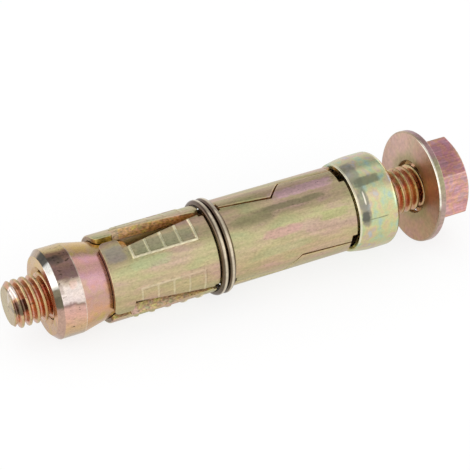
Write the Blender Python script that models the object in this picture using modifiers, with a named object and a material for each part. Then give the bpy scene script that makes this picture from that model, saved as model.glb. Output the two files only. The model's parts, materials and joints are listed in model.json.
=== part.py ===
"""Loose-bolt shield anchor, M6, for a 12 mm hole.

A hexagon bolt passes through a loose washer, a drawn ferrule and a shield of three pressed segments,
and screws into a cone-shaped expander nut. A two-turn spring hoop in a groove keeps the segments
together. Every piece is built about its own long axis, local +Z, with the bolt's tip down and its
head up. One empty then lays the whole anchor over, the way it comes to rest on a table: on the rim
of the washer and the rim of the nut.

Places along the bolt are measured from near the middle of the object's length. Angles about it
are measured from local -Y towards local -X, which is from the front towards the top once it lies.
"""

import math

import bmesh
import bpy
from mathutils import Matrix, Vector

MM = 0.001

# Bolt
THREAD_R = 2.95
BOLT_LENGTH = 57.1
TIP_CHAMFER = 0.5
HEAD_STANDOFF = 6.55
HEAD_HEIGHT = 4.15
HEAD_FLATS = 10.0
HEAD_CROWN = 0.25
HEAD_CORNER_ANGLE = 34.5
BEARING_INSET = 0.4
BEARING_HEIGHT = 0.15

# Shield segments, across the bolt
SEGMENTS = 3
SEGMENT_ANGLE = 28.5
SHIELD_ROOM = 1.15
SHEET = 1.4
TIP_WALL = 0.75
NECK_WALL = 0.85
HOOK_RISE = 0.35
FOOT_GAP_ANGLE = 6.0
SLOT_GAP_ANGLE = 22.5
SLOT_END_GAP_ANGLE = 4.0
RELIEF_ANGLE = 5.0
SEAM_GAP_ANGLE = 1.5
SEAM_GROOVE_ANGLE = 57.9
SEAM_LOW_ANGLE = 48.5
SEAM_HIGH_ANGLE = 75.0
SEAM_END_ANGLE = 70.0
TONGUE_ANGLE = 40.0
TONGUE_TURN_ANGLE = 2.0

# Shield segments, along the bolt
SHIELD_LENGTH = 32.35
FOOT_LENGTH = 1.95
FOOT_CORNER = 0.4
FOOT_CORNER_ANGLE = 4.0
FOOT_STEP_RUN = 0.1
RELIEF_RUN = 0.38
SEAM_STEP_PLACE = 9.9
SEAM_STEP_RUN = 2.2
NOTCH_DEPTH = 0.65
TONGUE_LENGTH = 3.8
HOOK_LENGTH = 1.3
HINGE_PLACE = 0.6
HINGE_INSET = 0.9

# Raised combs on each segment
COMB_ANGLE = 20.5
COMB_END_RUN = 1.525
COMB_PITCH = 2.08
RIB_WIDTH = 0.34
RIB_HEIGHT = 0.12
RIB_ROOT = 0.2
RIB_EDGE_ANGLE = 1.5
COMB_PANEL_ANGLE = 2.6

# Spring hoop and its groove
GROOVE_PLACE = 18.15
GROOVE_DEPTH = 0.75
WIRE_R = 0.44
WIRE_GAP = 0.05
HOOP_TURNS = 2
HOOP_ROOM = 0.47
HOOP_SIDE_GAP = 0.17
HOOP_START_ANGLE = 205.0
HOOP_CROSS_ANGLE = 30.0
HOOP_END_GAP_ANGLE = 3.0

# Expander nut
NUT_WALL = 2.5
NUT_COLLAR = 3.5
NUT_CHAMFER = 0.7
CONE_SLOPE = 0.224
CONE_INSIDE = 3.35
CONE_GAP = 0.1
BORE_GAP = 0.15
COUNTERSINK = 0.55
CONE_COUNTERSINK = 0.28

# Ferrule
FERRULE_END_S = 20.45
FERRULE_LENGTH = 5.8
FERRULE_WALL = 0.62
FERRULE_HOLE_GAP = 0.4
SHOULDER_FILLET = 0.95
RIM_GAP = 0.25
RIM_LIP = 1.05
RIM_ROUND = 0.1
FLARE_RUN = 3.0
NECK_GAP = 0.17
HOOK_GAP = 0.21

# Washer
WASHER_R = 7.25
WASHER_HOLE_GAP = 0.5
WASHER_THICKNESS = 1.0
WASHER_EDGE = 0.2
WASHER_LEAN_ANGLE = 5.0
WASHER_HEAD_GAP = 0.2

# Radii that follow from the sizes above
BEARING_R = HEAD_FLATS / 2 - BEARING_INSET
HEAD_FACE_R = HEAD_FLATS / 2 - HEAD_CROWN
TIP_FACE_R = THREAD_R - TIP_CHAMFER
SHIELD_BORE_R = THREAD_R + SHIELD_ROOM
SHIELD_R = SHIELD_BORE_R + SHEET
TIP_BORE_R = SHIELD_R - TIP_WALL
NECK_R = SHIELD_BORE_R + NECK_WALL
HOOK_R = NECK_R + HOOK_RISE
HINGE_R = SHIELD_R - HINGE_INSET
GROOVE_R = SHIELD_R - GROOVE_DEPTH
HOOP_MIDDLE_R = GROOVE_R + HOOP_ROOM + WIRE_R
NUT_BORE_R = THREAD_R + BORE_GAP
NUT_R = NUT_BORE_R + NUT_WALL
RIM_BORE_R = NECK_R + NECK_GAP
FERRULE_BORE_R = HOOK_R + HOOK_GAP
FERRULE_R = FERRULE_BORE_R + FERRULE_WALL
FERRULE_HOLE_R = THREAD_R + FERRULE_HOLE_GAP
WASHER_HOLE_R = THREAD_R + WASHER_HOLE_GAP

# Angles across each segment, either way from its middle, that follow from the gaps above
HALF_ANGLE = 180.0 / SEGMENTS
FOOT_ANGLE = HALF_ANGLE - FOOT_GAP_ANGLE
NARROW_ANGLE = HALF_ANGLE - SLOT_GAP_ANGLE
WIDE_ANGLE = HALF_ANGLE - SLOT_END_GAP_ANGLE
RELIEF_END_ANGLE = WIDE_ANGLE - RELIEF_ANGLE

# Places along the bolt that follow from the sizes above
RIM_S = FERRULE_END_S - FERRULE_LENGTH
SHOULDER_S = RIM_S - RIM_GAP
NOTCH_S = SHOULDER_S - NOTCH_DEPTH
TIP_END_S = SHOULDER_S - SHIELD_LENGTH
FOOT_S = TIP_END_S + FOOT_LENGTH
TONGUE_END_S = SHOULDER_S + TONGUE_LENGTH
HOOK_S = TONGUE_END_S - HOOK_LENGTH
HINGE_S = SHOULDER_S + HINGE_PLACE
WIRE_PITCH = 2 * WIRE_R + WIRE_GAP
HOOP_SPAN = WIRE_PITCH * (HOOP_TURNS - 1)
HOOP_TURN_ANGLE = 360.0 * HOOP_TURNS - HOOP_CROSS_ANGLE - HOOP_END_GAP_ANGLE
GROOVE_S = SHOULDER_S - GROOVE_PLACE
GROOVE_WIDTH = HOOP_SPAN + 2 * WIRE_R + 2 * HOOP_SIDE_GAP
SLOT_END_S = GROOVE_S - GROOVE_WIDTH / 2 - RELIEF_RUN
RELIEF_S = GROOVE_S + GROOVE_WIDTH / 2 + RELIEF_RUN
SEAM_STEP_S = SHOULDER_S - SEAM_STEP_PLACE
SEAM = (
    (RELIEF_S, SEAM_GROOVE_ANGLE),
    (SEAM_STEP_S, SEAM_LOW_ANGLE),
    (SEAM_STEP_S + SEAM_STEP_RUN, SEAM_HIGH_ANGLE),
    (NOTCH_S, SEAM_END_ANGLE),
)
COMB_END_S = SLOT_END_S - COMB_END_RUN
COMB_TEETH = 1 + int((COMB_END_S - FOOT_S) / COMB_PITCH)
COMB_START_S = COMB_END_S - COMB_PITCH * (COMB_TEETH - 1)
CONE_S = TIP_END_S - (NUT_R - (TIP_BORE_R - CONE_GAP)) / CONE_SLOPE
NUT_S = CONE_S - NUT_COLLAR
CONE_END_S = TIP_END_S + CONE_INSIDE
HEAD_S = FERRULE_END_S + HEAD_STANDOFF
TIP_S = HEAD_S - BOLT_LENGTH
WASHER_HALF = WASHER_THICKNESS / 2
WASHER_NICK = WASHER_EDGE * (1 - math.sqrt(0.5))
WASHER_LEAN_TURN = math.radians(WASHER_LEAN_ANGLE)
WASHER_REACH = WASHER_HALF / math.cos(WASHER_LEAN_TURN) + BEARING_R * math.tan(WASHER_LEAN_TURN)
WASHER_S = HEAD_S - WASHER_REACH - WASHER_HEAD_GAP

# Facets
TURN_STEPS = 24
HOOP_STEPS = 56
PANEL_ANGLE = 6.0
WALL_RUN = 0.08


def clear_scene() -> None:
    """Remove everything that the startup scene holds."""
    for obj in list(bpy.data.objects):
        bpy.data.objects.remove(obj, do_unlink=True)


def make_material(name: str, colour: tuple, roughness: float) -> bpy.types.Material:
    """A plated steel of the given colour."""
    material = bpy.data.materials.new(name)
    material.use_nodes = True
    shader = material.node_tree.nodes["Principled BSDF"]
    shader.inputs["Base Color"].default_value = (*colour, 1.0)
    shader.inputs["Metallic"].default_value = 1.0
    shader.inputs["Roughness"].default_value = roughness
    return material


def helper_collection() -> bpy.types.Collection:
    """The collection of tool bodies, which no render shows."""
    tools = bpy.data.collections.new("tool_bodies")
    bpy.context.scene.collection.children.link(tools)
    tools.hide_render = True
    return tools


def add_object(name: str, mesh: bpy.types.Mesh, material=None, tools=None) -> bpy.types.Object:
    """Put a mesh in the scene as a part, or as a hidden tool body when tools is given."""
    obj = bpy.data.objects.new(name, mesh)
    if tools is None:
        bpy.context.scene.collection.objects.link(obj)
    else:
        tools.objects.link(obj)
        obj.hide_render = True
        obj.display_type = "WIRE"
    if material is not None:
        mesh.materials.append(material)
    return obj


def turned(name: str, profile: list, steps: int, material=None, tools=None) -> bpy.types.Object:
    """A turned piece: a profile of (radius, place along the axis), from top to bottom, spun about Z.

    The profile starts half a facet off +X, so that a flat facet faces the ground once the piece lies.
    """
    mesh = bpy.data.meshes.new(name)
    half = math.pi / steps
    points = [(r * math.cos(half) * MM, r * math.sin(half) * MM, s * MM) for r, s in profile]
    closed = all(r > 0 for r, _ in profile)
    edges = [(i, i + 1) for i in range(len(points) - 1)]
    if closed:
        edges.append((len(points) - 1, 0))
    mesh.from_pydata(points, edges, [])
    obj = add_object(name, mesh, material, tools)
    screw = obj.modifiers.new("turning", "SCREW")
    screw.axis = "Z"
    screw.angle = 2 * math.pi
    screw.steps = steps
    screw.render_steps = steps
    screw.use_merge_vertices = True
    screw.merge_threshold = 0.00001
    screw.use_smooth_shade = False
    return obj


def direction(angle: float) -> Vector:
    """The outward direction at an angle about the bolt, in degrees."""
    turn = math.radians(angle)
    return Vector((-math.sin(turn), -math.cos(turn), 0.0))


def cone_r(s: float) -> float:
    """The nut's cone radius at a place along the bolt."""
    return NUT_R - CONE_SLOPE * (s - CONE_S)


def formed(name: str, outline: list, cuts: list, inner, outer, phase=0.0) -> bpy.types.Mesh:
    """A pressed plate: a flat blank of (place, angle) corners, rolled between two radii.

    The blank is divided along each cut place and each panel angle, so that it bends there. The phase
    moves the panel angles, so that two plates that join don't share their bends.
    """
    flat = bmesh.new()
    face = flat.faces.new([flat.verts.new((s, u, 0.0)) for s, u in outline])
    if face.calc_area() and face.normal.z < 0:
        face.normal_flip()
    flat.normal_update()
    lowest = min(u for _, u in outline)
    highest = max(u for _, u in outline)
    panel = math.ceil((lowest - phase) / PANEL_ANGLE) * PANEL_ANGLE + phase
    while panel < highest:
        divide(flat, (0.0, panel, 0.0), (0.0, 1.0, 0.0))
        panel += PANEL_ANGLE
    for s in cuts:
        divide(flat, (s, 0.0, 0.0), (1.0, 0.0, 0.0))
    flat.verts.index_update()
    corners = [(v.co.x, v.co.y) for v in flat.verts]
    panels = [[v.index for v in f.verts] for f in flat.faces]
    rims = [
        (e.link_loops[0].vert.index, e.link_loops[0].link_loop_next.vert.index)
        for e in flat.edges
        if e.is_boundary
    ]
    flat.free()
    count = len(corners)
    points = [direction(u) * (outer(s) * MM) + Vector((0, 0, s * MM)) for s, u in corners]
    points += [direction(u) * (inner(s) * MM) + Vector((0, 0, s * MM)) for s, u in corners]
    faces = [list(panel) for panel in panels]
    faces += [[i + count for i in reversed(panel)] for panel in panels]
    faces += [[b, a, a + count, b + count] for a, b in rims]
    mesh = bpy.data.meshes.new(name)
    mesh.from_pydata(points, [], faces)
    solid = bmesh.new()
    solid.from_mesh(mesh)
    bmesh.ops.recalc_face_normals(solid, faces=solid.faces)
    bmesh.ops.triangulate(solid, faces=solid.faces)
    solid.to_mesh(mesh)
    solid.free()
    return mesh


def divide(flat: bmesh.types.BMesh, place: tuple, normal: tuple) -> None:
    """Divide a flat blank along one straight line."""
    parts = list(flat.verts) + list(flat.edges) + list(flat.faces)
    bmesh.ops.bisect_plane(flat, geom=parts, dist=1e-5, plane_co=place, plane_no=normal)


def segment_inner(s: float) -> float:
    """The segment's inner radius, opened at the tip end to sit along the nut's cone."""
    return max(SHIELD_BORE_R, cone_r(s) + CONE_GAP)


def segment_outer(s: float) -> float:
    """The segment's outer radius, with the hoop's groove, the neck and the hook of the tongue."""
    groove_from = GROOVE_S - GROOVE_WIDTH / 2
    groove_to = GROOVE_S + GROOVE_WIDTH / 2
    if groove_from - 1e-4 <= s <= groove_to + 1e-4:
        return GROOVE_R
    if s <= SHOULDER_S + 1e-4:
        return SHIELD_R
    if s < HOOK_S - 1e-4:
        return NECK_R
    return HOOK_R


def segment_outline() -> list:
    """The flat blank of one segment, as (place, angle) corners from its upper foot corner round."""
    seam_top = [(s, u - SEAM_GAP_ANGLE) for s, u in SEAM]
    seam_low = [(s, u - 360.0 / SEGMENTS + SEAM_GAP_ANGLE) for s, u in SEAM]
    foot = [
        (TIP_END_S, FOOT_ANGLE - FOOT_CORNER_ANGLE),
        (TIP_END_S + FOOT_CORNER, FOOT_ANGLE),
        (FOOT_S - FOOT_CORNER, FOOT_ANGLE),
        (FOOT_S, FOOT_ANGLE - FOOT_CORNER_ANGLE),
        (FOOT_S + FOOT_STEP_RUN, NARROW_ANGLE),
        (SLOT_END_S, WIDE_ANGLE),
        (SLOT_END_S, RELIEF_END_ANGLE),
        (RELIEF_S, RELIEF_END_ANGLE),
    ]
    tongue = [
        (NOTCH_S, TONGUE_TURN_ANGLE + TONGUE_ANGLE),
        (TONGUE_END_S, TONGUE_TURN_ANGLE + TONGUE_ANGLE),
        (TONGUE_END_S, TONGUE_TURN_ANGLE - TONGUE_ANGLE),
        (NOTCH_S, TONGUE_TURN_ANGLE - TONGUE_ANGLE),
    ]
    other_foot = [(s, -u) for s, u in reversed(foot)]
    return foot + seam_top + tongue + seam_low[::-1] + other_foot


def comb_outline(side: int) -> list:
    """The blank of one comb: a spine along the bolt, with teeth towards the segment's edge."""
    half = RIB_WIDTH / 2
    half_turn = math.degrees(half / SHIELD_R)
    teeth = [COMB_START_S + COMB_PITCH * i for i in range(COMB_TEETH)]
    spread = (WIDE_ANGLE - NARROW_ANGLE) / (SLOT_END_S - FOOT_S)
    points = [(teeth[0] - half, COMB_ANGLE - half_turn)]
    points.append((teeth[-1] + half, COMB_ANGLE - half_turn))
    for s in reversed(teeth):
        reach = NARROW_ANGLE + spread * (s - FOOT_S) - RIB_EDGE_ANGLE
        points.append((s + half, COMB_ANGLE + half_turn))
        points.append((s + half, reach))
        points.append((s - half, reach))
        points.append((s - half, COMB_ANGLE + half_turn))
    points.pop()
    if side < 0:
        points = [(s, -u) for s, u in reversed(points)]
    return points


def build_segment(name: str, turn: float, material, tools) -> bpy.types.Object:
    """One shield segment, with its two raised combs, turned to its place about the bolt."""
    groove_from = GROOVE_S - GROOVE_WIDTH / 2
    groove_to = GROOVE_S + GROOVE_WIDTH / 2
    bevel_end = CONE_S + (NUT_R + CONE_GAP - SHIELD_BORE_R) / CONE_SLOPE
    cuts = [
        bevel_end,
        groove_from - WALL_RUN,
        groove_from,
        groove_to,
        groove_to + WALL_RUN,
        NOTCH_S,
        SHOULDER_S,
        SHOULDER_S + WALL_RUN,
        HOOK_S - WALL_RUN,
        HOOK_S,
    ]
    hinge = direction(0.0) * (HINGE_R * MM) + Vector((0, 0, HINGE_S * MM))
    to_hinge = Matrix.Translation(-hinge)
    mesh = formed(name, segment_outline(), cuts, segment_inner, segment_outer)
    mesh.transform(to_hinge)
    segment = add_object(name, mesh, material)
    for side in (1, -1):
        comb_mesh = formed(
            f"{name}_comb",
            comb_outline(side),
            [],
            lambda s: SHIELD_R - RIB_ROOT,
            lambda s: SHIELD_R + RIB_HEIGHT,
            COMB_PANEL_ANGLE,
        )
        comb_mesh.transform(to_hinge)
        comb = add_object(f"{name}_comb_{'upper' if side > 0 else 'lower'}", comb_mesh, None, tools)
        comb.parent = segment
        join = segment.modifiers.new("comb", "BOOLEAN")
        join.operation = "UNION"
        join.solver = "EXACT"
        join.object = comb
    segment.rotation_euler = (0.0, 0.0, -math.radians(turn))
    segment.location = direction(turn) * (HINGE_R * MM) + Vector((0, 0, HINGE_S * MM))
    return segment


def build_bolt(material, tools) -> bpy.types.Object:
    """The bolt, with its thread as a plain cylinder and a chamfered hexagon head."""
    into_head = HEAD_S + HEAD_HEIGHT / 2
    shank = turned(
        "bolt",
        [
            (0.0, into_head),
            (THREAD_R, into_head),
            (THREAD_R, TIP_S + TIP_CHAMFER),
            (TIP_FACE_R, TIP_S),
            (0.0, TIP_S),
        ],
        TURN_STEPS,
        material,
    )
    slant = math.radians(30)
    corner_r = HEAD_FLATS / 2 / math.cos(slant)
    top = HEAD_S + HEAD_HEIGHT
    turned_r = 2 * corner_r
    crown = (turned_r - HEAD_FACE_R) * math.tan(slant)
    mesh = bpy.data.meshes.new("head_blank")
    blank = bmesh.new()
    bmesh.ops.create_cone(
        blank,
        cap_ends=True,
        segments=6,
        radius1=corner_r * MM,
        radius2=corner_r * MM,
        depth=(HEAD_HEIGHT - BEARING_HEIGHT) * MM,
    )
    blank.verts.ensure_lookup_table()
    corner = blank.verts[0].co
    first = math.atan2(corner.y, corner.x)
    wanted = math.atan2(direction(HEAD_CORNER_ANGLE).y, direction(HEAD_CORNER_ANGLE).x)
    middle = (HEAD_S + BEARING_HEIGHT + top) / 2 * MM
    bmesh.ops.transform(
        blank,
        matrix=Matrix.Translation((0, 0, middle)) @ Matrix.Rotation(wanted - first, 4, "Z"),
        verts=blank.verts,
    )
    blank.to_mesh(mesh)
    blank.free()
    head = add_object("head_blank", mesh, None, tools)
    crown_body = turned(
        "head_crown",
        [
            (0.0, top + HEAD_HEIGHT),
            (HEAD_FACE_R, top + HEAD_HEIGHT),
            (HEAD_FACE_R, top),
            (turned_r, top - crown),
            (turned_r, top - crown - HEAD_HEIGHT),
            (0.0, top - crown - HEAD_HEIGHT),
        ],
        TURN_STEPS,
        None,
        tools,
    )
    trim = head.modifiers.new("crown", "BOOLEAN")
    trim.operation = "INTERSECT"
    trim.solver = "EXACT"
    trim.object = crown_body
    bearing = turned(
        "head_bearing",
        [
            (0.0, into_head),
            (BEARING_R, into_head),
            (BEARING_R, HEAD_S),
            (0.0, HEAD_S),
        ],
        TURN_STEPS,
        None,
        tools,
    )
    for part in (head, bearing):
        join = shank.modifiers.new(part.name, "BOOLEAN")
        join.operation = "UNION"
        join.solver = "EXACT"
        join.object = part
    return shank


def build_nut(material) -> bpy.types.Object:
    """The expander nut: a chamfered collar that runs into the cone, bored for the bolt."""
    bore = NUT_BORE_R
    return turned(
        "expander_nut",
        [
            (bore + CONE_COUNTERSINK, CONE_END_S),
            (cone_r(CONE_END_S), CONE_END_S),
            (NUT_R, CONE_S),
            (NUT_R, NUT_S + NUT_CHAMFER),
            (NUT_R - NUT_CHAMFER, NUT_S),
            (bore + COUNTERSINK, NUT_S),
            (bore, NUT_S + COUNTERSINK),
            (bore, CONE_END_S - CONE_COUNTERSINK),
        ],
        TURN_STEPS,
        material,
    )


def build_ferrule(material) -> bpy.types.Object:
    """The drawn ferrule: an open rim over the tongues, a rounded shoulder and a clearance hole."""
    fillet_s = FERRULE_END_S - SHOULDER_FILLET
    rim_r = RIM_BORE_R + FERRULE_WALL
    lip_s = RIM_S + RIM_LIP
    full_s = RIM_S + FLARE_RUN
    outside = [(FERRULE_HOLE_R, FERRULE_END_S)]
    for angle in (90, 67.5, 45, 22.5, 0):
        turn = math.radians(angle)
        outside.append(
            (
                FERRULE_R - SHOULDER_FILLET + SHOULDER_FILLET * math.cos(turn),
                fillet_s + SHOULDER_FILLET * math.sin(turn),
            )
        )
    for part in (1.0, 0.75, 0.5, 0.25):
        swell = math.sin(part * math.pi / 2)
        outside.append((rim_r + (FERRULE_R - rim_r) * swell, RIM_S + FLARE_RUN * part))
    outside += [(rim_r, RIM_S + RIM_ROUND), (rim_r - RIM_ROUND, RIM_S)]
    inside = [
        (RIM_BORE_R, RIM_S),
        (RIM_BORE_R, lip_s),
        (FERRULE_BORE_R, full_s),
        (FERRULE_BORE_R, fillet_s),
        (FERRULE_R - SHOULDER_FILLET, FERRULE_END_S - FERRULE_WALL),
        (FERRULE_HOLE_R, FERRULE_END_S - FERRULE_WALL),
    ]
    return turned("ferrule", outside + inside, TURN_STEPS, material)


def build_washer(material) -> bpy.types.Object:
    """The round washer, which leans on the bolt with its lower rim towards the ferrule."""
    edge = WASHER_EDGE
    nick = WASHER_NICK
    profile = [
        (WASHER_HOLE_R + edge, WASHER_HALF),
        (WASHER_R - edge, WASHER_HALF),
        (WASHER_R - nick, WASHER_HALF - nick),
        (WASHER_R, WASHER_HALF - edge),
        (WASHER_R, edge - WASHER_HALF),
        (WASHER_R - nick, nick - WASHER_HALF),
        (WASHER_R - edge, -WASHER_HALF),
        (WASHER_HOLE_R + edge, -WASHER_HALF),
        (WASHER_HOLE_R, edge - WASHER_HALF),
        (WASHER_HOLE_R, WASHER_HALF - edge),
    ]
    washer = turned("washer", profile, TURN_STEPS, material)
    washer.location = (0.0, 0.0, WASHER_S * MM)
    washer.rotation_euler = (0.0, WASHER_LEAN_TURN, 0.0)
    return washer


def hoop_place(angle: float) -> float:
    """Where the wire lies along the bolt: flat turns side by side, with a short crossing between them."""
    turn = int(angle // 360.0)
    crossing = (angle - 360.0 * (turn + 1) + HOOP_CROSS_ANGLE) / HOOP_CROSS_ANGLE
    if turn + 1 >= HOOP_TURNS or crossing <= 0:
        return GROOVE_S - HOOP_SPAN / 2 + WIRE_PITCH * turn
    return GROOVE_S - HOOP_SPAN / 2 + WIRE_PITCH * (turn + (1 - math.cos(math.pi * crossing)) / 2)


def build_hoop(material) -> bpy.types.Object:
    """The spring hoop: round wire wound in two close turns, with plain cut ends."""
    count = HOOP_TURNS * HOOP_STEPS
    curve = bpy.data.curves.new("spring_hoop", "CURVE")
    curve.dimensions = "3D"
    curve.bevel_depth = WIRE_R * MM
    curve.bevel_resolution = 2
    curve.use_fill_caps = True
    curve.resolution_u = 1
    spline = curve.splines.new("POLY")
    spline.points.add(count)
    for i in range(count + 1):
        angle = HOOP_END_GAP_ANGLE + (HOOP_TURN_ANGLE - HOOP_END_GAP_ANGLE) * i / count
        point = direction(HOOP_START_ANGLE + angle) * (HOOP_MIDDLE_R * MM)
        spline.points[i].co = (point.x, point.y, hoop_place(angle) * MM, 1.0)
    hoop = bpy.data.objects.new("spring_hoop", curve)
    curve.materials.append(material)
    bpy.context.scene.collection.objects.link(hoop)
    return hoop


def resting_pose() -> tuple:
    """The lean of the bolt and the height of its middle, resting on a facet of washer and nut each."""
    lean = WASHER_LEAN_TURN
    facet = math.cos(math.pi / TURN_STEPS)
    corner_s, corner_r = max(
        (
            (-r * math.sin(lean) + n * math.cos(lean), r * math.cos(lean) + n * math.sin(lean))
            for r, n in (
                (WASHER_R * facet, WASHER_HALF - WASHER_EDGE),
                ((WASHER_R - WASHER_NICK) * facet, WASHER_HALF - WASHER_NICK),
            )
        ),
        key=lambda corner: corner[1],
    )
    nut_s = NUT_S + NUT_CHAMFER
    nut_r = NUT_R * facet
    tilt = math.atan2(corner_r - nut_r, WASHER_S + corner_s - nut_s)
    height = -nut_s * math.sin(tilt) + nut_r * math.cos(tilt)
    return tilt, height


def main() -> None:
    """Build every piece and lay the anchor down."""
    clear_scene()
    tools = helper_collection()
    bolt_finish = make_material("bolt_zinc", (0.62, 0.36, 0.27), 0.3)
    nut_finish = make_material("nut_zinc", (0.68, 0.50, 0.42), 0.22)
    shield_finish = make_material("shield_zinc", (0.55, 0.50, 0.33), 0.38)
    wire_finish = make_material("hoop_steel", (0.45, 0.40, 0.33), 0.3)
    ferrule_finish = make_material("ferrule_zinc", (0.60, 0.62, 0.42), 0.25)
    washer_finish = make_material("washer_zinc", (0.60, 0.42, 0.33), 0.32)

    pieces = [
        build_bolt(bolt_finish, tools),
        build_nut(nut_finish),
        build_ferrule(ferrule_finish),
        build_washer(washer_finish),
        build_hoop(wire_finish),
    ]
    names = ("segment_front", "segment_top", "segment_under")
    for index, name in enumerate(names):
        turn = SEGMENT_ANGLE + index * 360.0 / SEGMENTS
        pieces.append(build_segment(name, turn, shield_finish, tools))

    tilt, height = resting_pose()
    left = TIP_S * math.cos(tilt) - TIP_FACE_R * math.sin(tilt)
    right = (HEAD_S + HEAD_HEIGHT) * math.cos(tilt) + HEAD_FACE_R * math.sin(tilt)
    rest = bpy.data.objects.new("resting_pose", None)
    bpy.context.scene.collection.objects.link(rest)
    rest.location = (-(left + right) / 2 * MM, 0.0, height * MM)
    rest.rotation_euler = (0.0, math.pi / 2 - tilt, 0.0)
    for piece in pieces:
        piece.parent = rest
    for tool in tools.objects:
        if tool.parent is None:
            tool.parent = rest


main()
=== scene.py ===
"""The shield anchor in its finishes, on a pale floor in soft studio light.

Every piece is built about the bolt's own axis, in millimetres, with local +Z towards the head, and is
then laid into the frame. Places along the bolt and angles about it are measured as on the solids: the
angle runs from the front (local -Y) towards the top (local -X).
"""

import json
import logging
import math
from collections.abc import Iterable, Sequence
from dataclasses import dataclass
from enum import Enum

import bmesh
import bpy
import numpy as np
from mathutils import Matrix, Vector


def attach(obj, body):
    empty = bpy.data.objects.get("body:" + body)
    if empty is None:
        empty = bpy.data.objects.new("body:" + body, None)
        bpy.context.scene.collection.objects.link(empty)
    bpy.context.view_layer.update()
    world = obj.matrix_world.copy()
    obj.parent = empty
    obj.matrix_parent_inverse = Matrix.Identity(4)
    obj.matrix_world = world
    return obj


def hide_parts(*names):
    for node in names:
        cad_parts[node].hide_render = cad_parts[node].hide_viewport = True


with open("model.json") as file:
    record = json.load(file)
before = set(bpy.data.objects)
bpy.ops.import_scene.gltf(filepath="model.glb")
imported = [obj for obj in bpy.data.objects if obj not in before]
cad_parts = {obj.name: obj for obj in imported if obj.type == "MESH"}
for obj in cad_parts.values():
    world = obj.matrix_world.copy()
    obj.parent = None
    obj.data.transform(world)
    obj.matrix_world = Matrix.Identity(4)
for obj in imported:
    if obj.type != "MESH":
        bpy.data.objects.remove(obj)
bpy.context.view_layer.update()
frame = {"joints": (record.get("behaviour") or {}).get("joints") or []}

LOG = logging.getLogger("shield_anchor")
MM = 0.001
Point2 = tuple[float, float]
Stops = tuple[tuple[float, str], ...]
Socket = bpy.types.NodeSocket
Finish = bpy.types.Material


class Body(Enum):
    """The moving bodies that the pieces ride on."""

    CORE = "shield_core"
    WASHER = "washer"
    BOLT = "bolt"
    NUT = "expander_nut"
    FRONT = "segment_front"
    TOP = "segment_top"
    UNDER = "segment_under"


class Side(Enum):
    """The two long edges of a segment's blank, by the sign of their angles."""

    UPPER = 1
    LOWER = -1


@dataclass(frozen=True)
class AnchorSizes:
    """The sizes that several pieces share, in millimetres.

    The fields are driving dimensions, and the properties follow from them. A name that ends in _r is a
    radius about the bolt, and one that ends in _s is a place along it.
    """

    thread_r: float = 2.95
    bolt_length: float = 57.1
    head_s: float = 27.0
    bearing_r: float = 4.6
    shield_room: float = 1.15
    sheet: float = 1.4
    neck_wall: float = 0.85
    hook_rise: float = 0.35
    tip_wall: float = 0.616
    shoulder_s: float = 14.4
    shield_length: float = 32.95
    groove_place: float = 18.15
    groove_depth: float = 0.75
    groove_width: float = 2.15
    wire_r: float = 0.44
    hoop_room: float = 0.47
    cone_slope: float = 0.224
    cone_gap: float = 0.1

    @property
    def tip_s(self) -> float:
        """Place of the bolt's tip."""
        return self.head_s - self.bolt_length

    @property
    def shield_bore_r(self) -> float:
        """Inner radius of the shield."""
        return self.thread_r + self.shield_room

    @property
    def shield_r(self) -> float:
        """Outer radius of the shield."""
        return self.shield_bore_r + self.sheet

    @property
    def groove_r(self) -> float:
        """Radius of the floor of the hoop's groove."""
        return self.shield_r - self.groove_depth

    @property
    def groove_s(self) -> float:
        """Place of the middle of the hoop's groove."""
        return self.shoulder_s - self.groove_place

    @property
    def neck_r(self) -> float:
        """Outer radius of the tongues under the ferrule."""
        return self.shield_bore_r + self.neck_wall

    @property
    def hook_r(self) -> float:
        """Outer radius of the hook at the end of each tongue."""
        return self.neck_r + self.hook_rise

    @property
    def tip_end_s(self) -> float:
        """Place of the shield's open end."""
        return self.shoulder_s - self.shield_length


@dataclass(frozen=True)
class BoltAxis:
    """Where the bolt's axis lies in the frame: its middle, in metres, and its direction to the head."""

    middle: Vector
    along: Vector

    @classmethod
    def from_frame(cls, sizes: AnchorSizes) -> "BoltAxis":
        """Read the axis from the joint that the bolt turns on.

        Args:
            sizes: The anchor's shared sizes, which say how far the joint is from the middle.

        Returns:
            The axis in the frame.
        """
        joint = next(j for j in frame["joints"] if j["child"] == Body.BOLT.value)
        along = -Vector(joint["axis"]).normalized()
        return cls(Vector(joint["pos_m"]) - along * (sizes.head_s * MM), along)

    def to_frame(self) -> Matrix:
        """Lay millimetres about the bolt into the frame.

        Returns:
            The matrix that does so, which also scales them to metres.
        """
        sideways = Vector((self.along.z, 0.0, -self.along.x))
        turn = Matrix((sideways, Vector((0.0, 1.0, 0.0)), self.along)).transposed()
        return Matrix.Translation(self.middle) @ turn.to_4x4() @ Matrix.Scale(MM, 4)


def linear(colour: str) -> tuple[float, float, float, float]:
    """Turn an sRGB hex colour into the linear one that Blender renders with.

    Args:
        colour: Six hex digits, with or without a leading #.

    Returns:
        Linear red, green and blue, with an alpha of 1.
    """
    parts = [int(colour.lstrip("#")[i : i + 2], 16) / 255 for i in (0, 2, 4)]
    red, green, blue = (c / 12.92 if c <= 0.04045 else ((c + 0.055) / 1.055) ** 2.4 for c in parts)
    return red, green, blue, 1.0


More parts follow.
